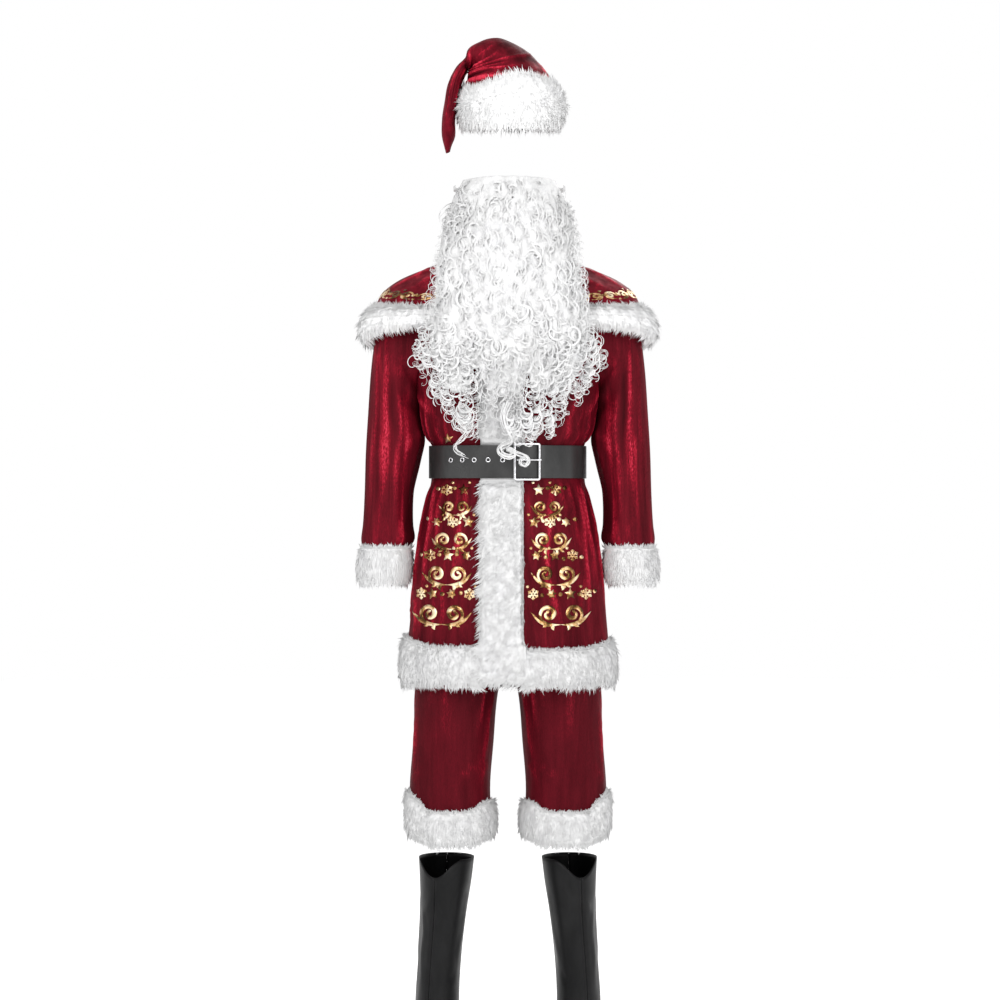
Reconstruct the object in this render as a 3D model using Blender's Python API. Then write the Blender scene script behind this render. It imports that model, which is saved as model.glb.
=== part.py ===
"""A Santa suit in the form it has on a standing adult: hat, beard, capelet, coat, belt, trousers and
boot covers. Metres, +Z up, front toward -Y. The origin is on the wearer's centre line at the height of
the shoulders. Left and right are those of someone facing the suit.

Each garment is a surface function of an angle (0 at the front, positive toward +X) and a height or a
run, read from a short table of sections. Walls, plush bands and straps are made from these functions."""

import math

import bmesh
import bpy
import numpy as np
from mathutils import Vector

MM = 0.001
SEAM = 0.3 * MM
HALF_SEAM = SEAM / 2
STEP = 1e-4

VELVET = 2.0 * MM
PLUSH = 16 * MM

# Heights on the coat
NECK_Z = 26 * MM
SHOULDER_TIP_Z = -38 * MM
ARMPIT_Z = -205 * MM
BELT_TOP_Z = -317 * MM
BELT_BOTTOM_Z = -375.4 * MM
HEM_Z = -735 * MM
HEM_TRIM_TOP_Z = -656 * MM
HEM_TRIM_BOTTOM_Z = -752 * MM
ARMHOLE_FRONT = math.radians(37)
ARMHOLE_BACK = math.radians(34)
ARMHOLE_ROWS = 7
NECK_DROP = 34 * MM

# The plush placket, from the neck to the hem
PLACKET_LEFT = -49 * MM
PLACKET_RIGHT = 27 * MM
FRONT_SEAM_X = 16 * MM
PLACKET_COLUMNS = (-27 * MM, -5 * MM)
PLACKET_GAP = 0.7 * MM
PLACKET_PILE = 15.5 * MM
CAPE_GAP = 0.8 * MM
CAPE_TRIM_TOP = 0.8
CAPE_TRIM_BOTTOM = 1.13
CAPE_PLUSH = 25 * MM

# Belt and buckle
STRAP = 2.6 * MM
BUCKLE_LEFT_X = 10.5 * MM
BUCKLE_RIGHT_X = 53 * MM
BUCKLE_BAR = 4.6 * MM
BUCKLE_HEIGHT = 67.6 * MM
EYELET_X = (-98 * MM, -78.5 * MM, -57.5 * MM, -34 * MM, -9.5 * MM)
EYELET_RADIUS = 4.7 * MM
HOLE_RADIUS = 2.4 * MM
EYELET_Z = -343 * MM
STRAP_START_X = 16 * MM
STRAP_END = math.radians(78)
RISE_START = 0.62
RISE_SPAN = 0.2
BUCKLE_LIFT = 4.6 * MM

# Trousers and boot covers
WAIST_Z = -375 * MM
CROTCH_Z = -672 * MM
TROUSER_END_Z = -1030 * MM
TROUSER_CUFF_TOP = -938 * MM
TROUSER_CUFF_BOTTOM = -1040 * MM
BOOT_TOP_Z = -1057 * MM
BOOT_BOTTOM_Z = -1524 * MM

# Sections, all in millimetres: height, half width, front and back depth, squareness, fold depth
COAT_COLUMNS = ("z", "width", "front", "back", "power", "fold")
COAT = np.array([
    (-760, 186, 139, 140, 2.1, 7.0),
    (-690, 183, 137, 138, 2.1, 7.0),
    (-600, 174, 131, 133, 2.1, 7.0),
    (-520, 165, 124, 128, 2.2, 6.0),
    (-450, 154, 116, 119, 2.2, 4.5),
    (-400, 142.5, 108, 106, 2.2, 2.0),
    (-378, 138, 104, 101, 2.2, 0),
    (-346, 138, 104, 101, 2.2, 0),
    (-314, 138, 104, 101, 2.2, 0),
    (-298, 147, 110, 106, 2.2, 2.5),
    (-250, 158, 117, 114, 2.2, 3.0),
    (-205, 166, 120, 118, 2.3, 2.0),
    (-150, 174, 121, 122, 2.3, 0.5),
    (-100, 184, 118, 122, 2.3, 0),
    (-60, 194, 110, 115, 2.2, 0),
    (-38, 196, 102, 107, 2.2, 0),
    (-15, 158, 88, 94, 2.1, 0),
    (5, 113, 73, 80, 2.0, 0),
    (26, 70, 57, 60, 2.0, 0),
    (34, 66, 55, 58, 2.0, 0),
])

# Broad pleats that fall from the belt and blouse above it: angle and half breadth in degrees, depth share
COAT_FOLDS = (
    (-112, 12, 1.0), (-70, 12, 0.9), (-42, 11, 0.4), (43, 11, 0.5), (71, 12, 1.0), (111, 12, 0.9),
    (140, 13, 0.8), (167, 12, 0.6), (-167, 12, 0.8), (-140, 12, 1.0),
)

# Cape: run from neck to hem, half width, front and back depth, height at side, front and back, squareness
CAPE_COLUMNS = ("run", "width", "front", "back", "side_z", "front_z", "back_z", "power")
CAPE = np.array([
    (-0.1, 70, 60, 62, 42, 8, 46, 2.0),
    (0.0, 76, 63, 66, 34, 0, 38, 2.0),
    (0.25, 133, 90, 98, 8, -24, 16, 2.0),
    (0.5, 198, 113, 124, -20, -44, -16, 2.2),
    (0.7, 229, 126, 138, -46, -62, -50, 2.4),
    (0.85, 242, 132, 145, -74, -78, -84, 2.4),
    (1.0, 250, 136, 150, -106, -96, -124, 2.4),
    (1.2, 256, 140, 155, -148, -130, -172, 2.4),
])
CAPE_FOLDS = ((-118, 12, 1.0), (-150, 11, 0.7), (178, 11, 0.9), (148, 12, 0.8), (117, 12, 1.0), (68, 10, 0.5),
              (-62, 11, 0.6))
CAPE_FOLD = 5 * MM

# Sleeve (of the right side, mirrored for the left): run, outer line, inner line, half depth, shift back
SLEEVE_COLUMNS = ("run", "outer_x", "outer_z", "inner_x", "inner_z", "depth", "back")
SLEEVE = np.array([
    (0.06, 212, -52, 167.5, -212, 66, -1),
    (0.14, 228, -82, 169.5, -222, 64, -2),
    (0.25, 239, -124, 170.5, -240, 60, -3),
    (0.38, 247, -185, 168.5, -268, 56, -3),
    (0.5, 252, -258, 160, -304, 54, -4),
    (0.62, 256, -328, 163, -346, 53, -6),
    (0.75, 258, -402, 170, -406, 52, -9),
    (0.88, 261, -458, 170.5, -458, 51, -12),
    (0.96, 264, -486, 168, -486, 49, -14),
    (1.0, 262, -497, 175, -497, 46, -15),
    (1.15, 264, -532, 179, -532, 45, -17),
    (1.32, 265, -572, 182, -572, 45, -19),
])
SLEEVE_FOLDS = ((-40, 20, 1.0), (20, 18, 0.7), (75, 20, 0.9), (140, 22, 0.6), (-150, 20, 0.8), (-95, 20, 0.7))
SLEEVE_FOLD = 4 * MM
SLEEVE_SIDE = 1

# Trouser leg (right side, mirrored): height, centre, half width, half depth, shift back
LEG_COLUMNS = ("z", "centre", "width", "depth", "back")
LEG = np.array([
    (-1050, 103, 73, 70, 8),
    (-1000, 103, 74, 72, 8),
    (-932, 105, 73, 75, 6),
    (-850, 99, 73, 78, 4),
    (-760, 93, 75, 82, 2),
    (-710, 88, 80, 86, 2),
    (-672, 84, 83.8, 92, 2),
    (-640, 66, 96, 96, 2),
    (-600, 36, 120, 96, 2),
    (-560, 0, 148, 94, 2),
    (-500, 0, 142, 92, 0),
    (-430, 0, 138, 96, -1),
    (-375, 0, 135.4, 99.9, -1.5),
    (-340, 0, 135.4, 99.9, -1.5),
])
LEG_FOLDS = ((-30, 16, 0.8), (15, 14, 1.0), (60, 16, 0.7), (-100, 18, 0.8), (150, 18, 1.0), (110, 16, 0.6))
LEG_FOLD = 3.5 * MM
LEG_CELLS = 8

# Boot cover (right side, mirrored): height, inner and outer x, front and back y
BOOT_COLUMNS = ("z", "inner", "outer", "front", "rear")
BOOT = np.array([
    (-1530, 46, 166, -165, 62),
    (-1500, 58, 168, -150, 64),
    (-1460, 70, 168, -108, 66),
    (-1400, 84, 167, -62, 68),
    (-1314, 88, 167, -46, 74),
    (-1235, 84, 162, -48, 84),
    (-1150, 74, 158, -52, 92),
    (-1100, 66, 159, -54, 92),
    (-1050, 60, 161, -56, 88),
])
BOOT_SEAM = math.radians(24)
BOOT_NOTCH = 32 * MM

# Hat crown: run from the brim to the tip, its right or outer line, its left or inner line, half depth
HAT_COLUMNS = ("run", "outer_x", "outer_z", "inner_x", "inner_z", "depth")
HAT = np.array([
    (-0.1, 87, 222, -75, 222, 99),
    (0.0, 87, 255, -75, 255, 100),
    (0.09, 87, 285, -75, 285, 100),
    (0.18, 86, 313, -75, 313, 98),
    (0.27, 76, 346, -73.5, 339, 92),
    (0.36, 60, 366, -72.5, 351, 84),
    (0.45, 38, 390, -70.5, 356, 74),
    (0.53, 8, 408, -68, 359, 64),
    (0.60, -20, 417, -67, 361, 56),
    (0.66, -48, 411, -68.5, 361, 50),
    (0.71, -71, 393, -73, 358, 46),
    (0.76, -92, 366, -79.5, 350, 42),
    (0.81, -108, 335, -95, 331, 38),
    (0.86, -114, 304, -98, 304, 34),
    (0.91, -118.5, 270, -98.5, 270, 29),
    (0.95, -118.5, 240, -98, 240, 22),
    (0.98, -114, 219, -102, 222, 12),
    (1.0, -111, 207, -105, 210, 6),
])
BRIM_TOP = 0.245
BRIM_BOTTOM = -0.03
BRIM_PLUSH = 18.2 * MM

# Beard: height, left and right edges, front of the mass at its middle, thickness, how far its sides go back
BEARD_COLUMNS = ("z", "left", "right", "front", "thick", "wrap")
BEARD = np.array([
    (160, -88, 92, -122, 16, 92),
    (130, -100, 106, -140, 26, 96),
    (90, -116, 124, -158, 32, 88),
    (50, -124, 130, -170, 34, 66),
    (0, -130, 130, -184, 34, 44),
    (-60, -136, 138, -194, 32, 36),
    (-110, -154, 154, -195, 31, 30),
    (-150, -170, 172, -187, 34, 30),
    (-175, -170, 174, -179, 34, 30),
    (-205, -148, 146, -172, 33, 28),
    (-250, -118, 120, -162, 30, 20),
    (-286, -92, 92, -154, 26, 12),
    (-312, -50, 58, -147, 20, 6),
])
BEARD_WAVES = 13
BEARD_WAVE = 5.5 * MM
LOCK_TAPER = 0.42
ELASTIC_Z = 146 * MM

COLOURS = {
    "velvet": ((0.20, 0.006, 0.018, 1), 0.55, 0.0),
    "plush": ((0.86, 0.86, 0.86, 1), 0.95, 0.0),
    "hair": ((0.88, 0.88, 0.88, 1), 0.6, 0.0),
    "strap": ((0.03, 0.03, 0.032, 1), 0.4, 0.0),
    "boot": ((0.015, 0.015, 0.016, 1), 0.45, 0.0),
    "metal": ((0.75, 0.75, 0.77, 1), 0.2, 1.0),
    "elastic": ((0.7, 0.7, 0.7, 1), 0.8, 0.0),
}


# ---------------------------------------------------------------- tables and surfaces

def column(table, columns, name, at):
    """The named column of a table in metres, read smoothly at these places of its first column."""
    order = np.argsort(table[:, 0])
    keys = table[order, 0]
    values = table[order, columns.index(name)]
    slopes = np.gradient(values, keys)
    at = np.clip(at, keys[0], keys[-1])
    index = np.clip(np.searchsorted(keys, at, side="right") - 1, 0, len(keys) - 2)
    span = keys[index + 1] - keys[index]
    t = (at - keys[index]) / span
    return (
        values[index] * (2 * t**3 - 3 * t**2 + 1)
        + slopes[index] * span * (t**3 - 2 * t**2 + t)
        + values[index + 1] * (3 * t**2 - 2 * t**3)
        + slopes[index + 1] * span * (t**3 - t**2)
    )


def turn(angle):
    """The same angle between -pi and pi."""
    return (angle + math.pi) % (2 * math.pi) - math.pi


def folds(angle, table):
    """The share of full fold depth at this angle, outward on the folds of the table."""
    total = np.zeros_like(angle)
    for centre, breadth, depth in table:
        offset = turn(angle - math.radians(centre)) / math.radians(breadth)
        total += depth * np.exp(-(offset**2))
    return total


def section(angle, width, front, back, power):
    """A point of a rounded section, as distances along X and Y from its centre."""
    sine = np.sin(angle)
    cosine = np.cos(angle)
    depth = np.where(cosine > 0, front, back)
    reach = (np.abs(sine) ** power + np.abs(cosine) ** power) ** (-1 / power)
    return width * sine * reach, -depth * cosine * reach


def coat(angle, height):
    """The outside of the coat's cloth."""
    at = height / MM
    width, front, back = (MM * column(COAT, COAT_COLUMNS, name, at) for name in ("width", "front", "back"))
    power = column(COAT, COAT_COLUMNS, "power", at)
    fold = MM * column(COAT, COAT_COLUMNS, "fold", at) * (folds(angle, COAT_FOLDS) - 0.4)
    x, y = section(angle, width + fold, front + fold, back + fold, power)
    neck = np.clip((height + 100 * MM) / (NECK_Z + 100 * MM), 0, 1) ** 2
    drop = NECK_DROP * neck * np.clip(np.cos(angle), 0, 1) ** 2
    return np.stack([x, y, height - drop], axis=-1)


def cape(angle, run):
    """The outside of the cape's cloth, from its neck (run 0) to its edge (run 1)."""
    read = {name: column(CAPE, CAPE_COLUMNS, name, run) for name in CAPE_COLUMNS[1:]}
    fold = CAPE_FOLD * np.clip(run, 0, 1) ** 2 * (folds(angle, CAPE_FOLDS) - 0.3)
    width, front, back = (read[name] * MM + fold for name in ("width", "front", "back"))
    x, y = section(angle, width, front, back, read["power"])
    toward = np.cos(angle) ** 2
    end = np.where(np.cos(angle) > 0, read["front_z"], read["back_z"])
    z = MM * (read["side_z"] * (1 - toward) + end * toward)
    return np.stack([x, y, z], axis=-1)


def armhole(angle):
    """The armhole's edge on the right side: 0 at the shoulder tip, a quarter turn to its front."""
    height = ARMPIT_Z + (SHOULDER_TIP_Z - ARMPIT_Z) * (1 + np.cos(angle)) / 2
    sine = np.sin(angle)
    opening = np.where(sine > 0, ARMHOLE_FRONT, ARMHOLE_BACK)
    return math.pi / 2 - opening * sine, height


def sleeve(angle, run):
    """The outside of the right sleeve: angle 0 on its outer line, a quarter turn at its front."""
    read = {name: MM * column(SLEEVE, SLEEVE_COLUMNS, name, run) for name in SLEEVE_COLUMNS[1:]}
    cosine = np.cos(angle)
    fold = SLEEVE_FOLD * np.clip((run - 0.2) / 0.4, 0, 1) * (folds(angle, SLEEVE_FOLDS) - 0.5)
    fold = fold * np.where(run > 0.97, 0.5, 1)
    x = (read["outer_x"] * (1 + cosine) + read["inner_x"] * (1 - cosine)) / 2 + fold * np.clip(cosine, 0, 1)
    z = (read["outer_z"] * (1 + cosine) + read["inner_z"] * (1 - cosine)) / 2
    y = read["back"] - (read["depth"] + fold) * np.sin(angle)
    end = np.stack([x, y, z], axis=-1)
    theta, height = armhole(angle)
    start = coat(theta, height)
    start[..., 0] += 1.2 * SEAM
    share = np.clip(run / 0.14, 0, 1)[..., None]
    share = share * share * (3 - 2 * share)
    return start * (1 - share) + end * share


def leg(angle, height):
    """The outside of the right trouser half: angle 0 at its front, a quarter turn at its outer side."""
    read = {name: MM * column(LEG, LEG_COLUMNS, name, height / MM) for name in LEG_COLUMNS[1:]}
    fold = LEG_FOLD * np.clip((-height - 0.62) / 0.1, 0, 1) * (folds(angle, LEG_FOLDS) - 0.4)
    fold = fold * np.clip(1 + np.sin(angle), 0, 1)
    x = read["centre"] + (read["width"] + fold) * np.sin(angle)
    y = read["back"] - (read["depth"] + fold) * np.cos(angle)
    return np.stack([x, y, height], axis=-1)


def leg_inner_angle(height):
    """How far round the front the right half goes before it meets the centre seam or its inseam."""
    centre = column(LEG, LEG_COLUMNS, "centre", height / MM)
    width = column(LEG, LEG_COLUMNS, "width", height / MM)
    return -np.arcsin(np.clip((centre - HALF_SEAM / MM) / width, -1, 1))


def boot(angle, height):
    """The outside of the right boot cover: angle 0 at its front, a quarter turn at its outer side."""
    read = {name: MM * column(BOOT, BOOT_COLUMNS, name, height / MM) for name in BOOT_COLUMNS[1:]}
    width = (read["outer"] - read["inner"]) / 2
    depth = (read["rear"] - read["front"]) / 2
    x, y = section(angle, width, depth, depth, 2.1)
    return np.stack([x + (read["outer"] + read["inner"]) / 2, y + (read["front"] + read["rear"]) / 2, height],
                    axis=-1)


def hat(angle, run):
    """The outside of the hat's crown: angle 0 at its front, a quarter turn at its right or outer line."""
    read = {name: MM * column(HAT, HAT_COLUMNS, name, run) for name in HAT_COLUMNS[1:]}
    share = (1 + np.sin(angle)) / 2
    x = read["inner_x"] + (read["outer_x"] - read["inner_x"]) * share
    z = read["inner_z"] + (read["outer_z"] - read["inner_z"]) * share
    return np.stack([x, -read["depth"] * np.cos(angle), z], axis=-1)


def normals(surface, u, v):
    """Unit normals of a surface function, on the side of the cross product of its two directions."""
    along = surface(u + STEP, v) - surface(u - STEP, v)
    up = surface(u, v + STEP) - surface(u, v - STEP)
    found = np.cross(along, up)
    return found / np.linalg.norm(found, axis=-1, keepdims=True)


def mirrored(surface):
    """The same surface on the left side."""
    def left(u, v):
        points = surface(u, v)
        return points * np.array([-1, 1, 1])
    return left


# ---------------------------------------------------------------- mesh makers

def material(name):
    colour, roughness, metallic = COLOURS[name]
    made = bpy.data.materials.get(name)
    if made:
        return made
    made = bpy.data.materials.new(name)
    made.use_nodes = True
    shader = made.node_tree.nodes["Principled BSDF"]
    shader.inputs["Base Color"].default_value = colour
    shader.inputs["Roughness"].default_value = roughness
    shader.inputs["Metallic"].default_value = metallic
    return made


def solid(name, points, faces, look):
    """One closed, outward-facing, triangulated body."""
    built = bmesh.new()
    corners = [built.verts.new(Vector(point)) for point in points]
    for face in faces:
        built.faces.new([corners[index] for index in face])
    bmesh.ops.triangulate(built, faces=built.faces)
    bmesh.ops.recalc_face_normals(built, faces=built.faces)
    mesh = bpy.data.meshes.new(name)
    built.to_mesh(mesh)
    built.free()
    mesh.shade_smooth()
    mesh.set_sharp_from_angle(angle=math.radians(50))
    made = bpy.data.objects.new(name, mesh)
    bpy.context.scene.collection.objects.link(made)
    made.data.materials.append(material(look))
    return made


def grid_faces(rows, columns, start, closed):
    """Quads over a grid of rows x columns corners that begin at index start."""
    faces = []
    for row in range(rows - 1):
        for col in range(columns if closed else columns - 1):
            after = (col + 1) % columns
            low = start + row * columns
            faces.append((low + col, low + after, low + columns + after, low + columns + col))
    return faces


def wall(name, surface, u, v, thickness, look, closed=False, inward=1):
    """Cloth between a surface and the same surface moved inward, over grids u and v of its parameters."""
    outside = surface(u, v)
    inside = outside - inward * thickness * normals(surface, u, v)
    rows, columns = u.shape
    count = rows * columns
    faces = grid_faces(rows, columns, 0, closed) + grid_faces(rows, columns, count, closed)
    rim = [[col for col in range(columns)], [(rows - 1) * columns + col for col in range(columns)]]
    for line in rim:
        for place in range(columns if closed else columns - 1):
            here = line[place]
            after = line[(place + 1) % columns]
            faces.append((here, after, after + count, here + count))
    if not closed:
        for edge in (0, columns - 1):
            for row in range(rows - 1):
                here = row * columns + edge
                after = here + columns
                faces.append((here, after, after + count, here + count))
    points = np.concatenate([outside.reshape(-1, 3), inside.reshape(-1, 3)])
    return solid(name, points, faces, look)


def loft(name, rings, look, closed):
    """A body through rings of equal length: round a circuit when closed, with flat ends when open."""
    rings = np.asarray(rings)
    count, size = rings.shape[:2]
    faces = []
    for ring in range(count if closed else count - 1):
        following = (ring + 1) % count
        for place in range(size):
            after = (place + 1) % size
            faces.append((ring * size + place, ring * size + after,
                          following * size + after, following * size + place))
    if not closed:
        faces.append(tuple(range(size)))
        faces.append(tuple((count - 1) * size + place for place in range(size)))
    return solid(name, rings.reshape(-1, 3), faces, look)


def band(name, surface, angles, profile, look, closed, outward=1):
    """Plush that follows a surface: its profile is (v, height off the surface) pairs. The angles are one
    for each station, or a grid with one row for each profile place and one column for each station."""
    v = np.array([place for place, _ in profile])
    height = np.array([lift for _, lift in profile])
    if angles.ndim == 1:
        angles = np.repeat(angles[None, :], len(profile), axis=0)
    u = angles.T
    v = np.repeat(v[None, :], u.shape[0], axis=0)
    rings = surface(u, v) + outward * height[None, :, None] * normals(surface, u, v)
    return loft(name, rings, look, closed)


PILE = ((0.0, 0.0), (0.03, 0.45), (0.22, 0.9), (0.5, 1.0), (0.78, 0.92), (0.97, 0.5), (1.0, 0.0))


def puffed(top, bottom, height, behind, pile=PILE):
    """A rounded pile profile between two places on a surface, over a back that follows the cloth."""
    outer = [(top + (bottom - top) * share, SEAM + height * lift) for share, lift in pile]
    return outer + [(place, SEAM) for place in behind]


# ---------------------------------------------------------------- coat

def coat_angle_at(x, height):
    """The angle at which the coat's front has this x, at each of these heights."""
    angle = np.zeros_like(height)
    for _ in range(12):
        error = coat(angle, height)[..., 0] - x
        slope = (coat(angle + STEP, height)[..., 0] - coat(angle - STEP, height)[..., 0]) / (2 * STEP)
        angle = angle - error / slope
    return angle


def coat_heights():
    """Rows of the coat: hem to armpit, round the armhole, then up to the neck."""
    below = np.array([HEM_Z, -698 * MM, HEM_TRIM_TOP_Z, -590 * MM, -520 * MM, -450 * MM, -402 * MM,
                      BELT_BOTTOM_Z - 2 * MM, BELT_TOP_Z + 2 * MM, -296 * MM, -250 * MM])
    around = ARMPIT_Z + (SHOULDER_TIP_Z - ARMPIT_Z) * (1 - np.cos(np.linspace(0, math.pi, ARMHOLE_ROWS + 1))) / 2
    above = np.array([-18 * MM, 5 * MM, NECK_Z])
    return np.concatenate([below, around, above])


def side_angle(height, opening):
    """The panel's outer edge: the side seam, the armhole's edge, then the shoulder seam."""
    share = np.clip((height - ARMPIT_Z) / (SHOULDER_TIP_Z - ARMPIT_Z), 0, 1)
    return math.pi / 2 - opening * 2 * np.sqrt(share * (1 - share))


def seam_turn(height):
    """Half a seam's gap as an angle at the coat's side and shoulder."""
    return HALF_SEAM / (MM * column(COAT, COAT_COLUMNS, "front", height / MM) * 0.9)


def spread(first, last, count):
    """Columns spread evenly between two edges, one row for each height."""
    share = np.linspace(0, 1, count)[None, :]
    return first[:, None] * (1 - share) + last[:, None] * share


def right_angles(heights):
    """Columns of the right front: its seam behind the placket, the placket's edge, then on to the side."""
    seam = coat_angle_at(FRONT_SEAM_X + HALF_SEAM, heights)
    edge = coat_angle_at(PLACKET_RIGHT + PLACKET_GAP, heights)
    side = side_angle(heights, ARMHOLE_FRONT) - seam_turn(heights)
    return np.concatenate([seam[:, None], spread(edge, side, 8)], axis=1)


def left_angles(heights):
    """Columns of the left front: from its side to the placket's edge, then under the placket to the seam."""
    edge = coat_angle_at(PLACKET_LEFT - PLACKET_GAP, heights)
    side = side_angle(heights, ARMHOLE_FRONT) - seam_turn(heights)
    under = [coat_angle_at(x, heights) for x in PLACKET_COLUMNS + (FRONT_SEAM_X - HALF_SEAM,)]
    return np.concatenate([spread(-side, edge, 8), np.stack(under, axis=1)], axis=1)


def back_angles(heights):
    side = math.pi - (side_angle(heights, ARMHOLE_BACK) - seam_turn(heights))
    return spread(side, 2 * math.pi - side, 19)


def coat_panels():
    heights = coat_heights()
    for name, angles in (("coat_front_left", left_angles(heights)), ("coat_front_right", right_angles(heights)),
                         ("coat_back", back_angles(heights))):
        wall(name, coat, angles, np.repeat(heights[:, None], angles.shape[1], axis=1), VELVET, "velvet")


def sleeves():
    angles = np.linspace(0, 2 * math.pi, 2 * ARMHOLE_ROWS + 1)[:-1]
    runs = np.array([0, 0.06, 0.14, 0.25, 0.38, 0.5, 0.62, 0.75, 0.88, 0.96, 1.0])
    v, u = np.meshgrid(runs, angles, indexing="ij")
    wall("sleeve_right", sleeve, u, v, VELVET, "velvet", closed=True, inward=SLEEVE_SIDE)
    wall("sleeve_left", mirrored(sleeve), u, v, VELVET, "velvet", closed=True, inward=-SLEEVE_SIDE)


def cuffs():
    angles = np.linspace(0, 2 * math.pi, 2 * ARMHOLE_ROWS + 1)[:-1]
    profile = [(1.0022, -8 * MM), (1.0022, -1 * MM), (1.02, 4 * MM), (1.09, 8 * MM), (1.18, 8.5 * MM),
               (1.27, 6 * MM), (1.3, 0), (1.298, -7 * MM), (1.15, -11 * MM)]
    band("cuff_right", sleeve, angles, profile, "plush", True, outward=SLEEVE_SIDE)
    band("cuff_left", mirrored(sleeve), angles, profile, "plush", True, outward=-SLEEVE_SIDE)


def belt_squeeze(height):
    """How far the placket's pile stands at this height: nearly flat where the belt presses on it."""
    middle = (BELT_TOP_Z + BELT_BOTTOM_Z) / 2
    half = (BELT_TOP_Z - BELT_BOTTOM_Z) / 2 + 2 * MM
    clear = np.clip((np.abs(height - middle) - half) / (14 * MM), 0, 1)
    return 0.16 + 0.84 * clear


def placket():
    rows = coat_heights()
    heights = np.sort(np.concatenate([[HEM_TRIM_BOTTOM_Z, -747 * MM, -392 * MM, -303 * MM], rows[:-1]]))
    pile = PLACKET_PILE * belt_squeeze(heights)
    pile[[0, -1]] *= 0.35
    across = ((0.0, 0.0), (0.02, 0.55), (0.15, 0.95), (0.4, 1.0), (0.7, 0.98), (0.93, 0.8), (1.0, 0.4), (1.0, 0.0))
    places = np.array([PLACKET_LEFT + (PLACKET_RIGHT - PLACKET_LEFT) * share for share, _ in across])
    behind = np.array([FRONT_SEAM_X] + list(PLACKET_COLUMNS)[::-1])
    rise = np.array([share for _, share in across])
    rings = []
    for height, lift in zip(heights, pile):
        x = np.concatenate([places, behind])
        level = np.full(len(x), height)
        angle = coat_angle_at(x, level)
        stand = SEAM + lift * np.concatenate([rise, np.zeros(len(behind))])
        rings.append(coat(angle, level) + stand[:, None] * normals(coat, angle, level))
    loft("placket", rings, "plush", False)


def hem_trim():
    profile = puffed(HEM_TRIM_TOP_Z, HEM_TRIM_BOTTOM_Z, PLUSH, (HEM_Z, -698 * MM))
    heights = np.array([place for place, _ in profile])
    full = 2 * math.pi
    angles = np.concatenate([right_angles(heights)[:, 1:], back_angles(heights)[:, 1:-1],
                             left_angles(heights)[:, :8] + full], axis=1)
    band("hem_trim", coat, angles, profile, "plush", False)


# ---------------------------------------------------------------- cape

def cape_edge(x, runs):
    """The angle at which the cape's front edge keeps this x."""
    angle = np.zeros_like(runs)
    for _ in range(12):
        error = cape(angle, runs)[..., 0] - x
        slope = (cape(angle + STEP, runs)[..., 0] - cape(angle - STEP, runs)[..., 0]) / (2 * STEP)
        angle = angle - error / slope
    return angle


def cape_angles(part, runs):
    """Columns of a cape panel; its front edges run straight down beside the placket."""
    gap = HALF_SEAM / (MM * column(CAPE, CAPE_COLUMNS, "front", runs) * 0.9)
    side = math.pi / 2
    if part == "left":
        return spread(-side + gap, cape_edge(PLACKET_LEFT - CAPE_GAP, runs), 8)
    if part == "right":
        return spread(cape_edge(PLACKET_RIGHT + CAPE_GAP, runs), side - gap, 9)
    return spread(side + gap, 3 * side - gap, 19)


def cape_panels():
    runs = np.array([0.0, 0.17, 0.34, 0.5, 0.65, CAPE_TRIM_TOP, 0.9, 1.0])
    for part, name in (("left", "cape_front_left"), ("right", "cape_front_right"), ("back", "cape_back")):
        angles = cape_angles(part, runs)
        wall(name, cape, angles, np.repeat(runs[:, None], angles.shape[1], axis=1), VELVET, "velvet", inward=-1)


def cape_trim():
    pile = ((0.0, 0.0), (0.04, 0.4), (0.25, 0.88), (0.55, 1.0), (0.85, 0.95), (1.0, 0.6), (1.0, 0.0))
    profile = puffed(CAPE_TRIM_TOP, CAPE_TRIM_BOTTOM, CAPE_PLUSH, (1.0, 0.9), pile)
    runs = np.array([place for place, _ in profile])
    profile = [(place, -lift) for place, lift in profile]
    for part in ("left", "right", "back"):
        band(f"cape_trim_{part}", cape, cape_angles(part, runs), profile, "plush", False)


def neckband():
    angles = np.linspace(0, 2 * math.pi, 25)[:-1]
    rings = []
    for angle in angles:
        foot = cape(np.array(angle), np.array(0.0))
        inward = np.array([foot[0], foot[1], 0.0])
        inward /= -np.linalg.norm(inward)
        rise = np.array([0.0, 0.0, 1.0])
        base = foot + 0.6 * MM * rise
        rings.append([base, base + 24 * MM * rise + 5 * MM * inward,
                      base + 24 * MM * rise + 8 * MM * inward, base + 3 * MM * inward])
    loft("neckband", rings, "velvet", True)


# ---------------------------------------------------------------- belt

def belt_ring(angle, height):
    """The face on which the belt lies: the coat at the belt, straight from top to bottom."""
    points = coat(angle, np.full_like(height, (BELT_TOP_Z + BELT_BOTTOM_Z) / 2))
    points[..., 2] = height
    return points


def over_placket(angle):
    """How far the belt stands off the coat where it crosses the flattened placket."""
    half = math.atan2((PLACKET_RIGHT - PLACKET_LEFT) / 2, 104 * MM) * 1.02
    middle = (math.atan2(PLACKET_RIGHT, 104 * MM) + math.atan2(PLACKET_LEFT, 104 * MM)) / 2
    beyond = np.clip((np.abs(turn(angle - middle)) - half) / 0.16, 0, 1)
    return 3.1 * MM * (1 - beyond * beyond * (3 - 2 * beyond))


def belt_angle_at(x):
    return float(coat_angle_at(np.array([x]), np.array([(BELT_TOP_Z + BELT_BOTTOM_Z) / 2]))[0])


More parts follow.
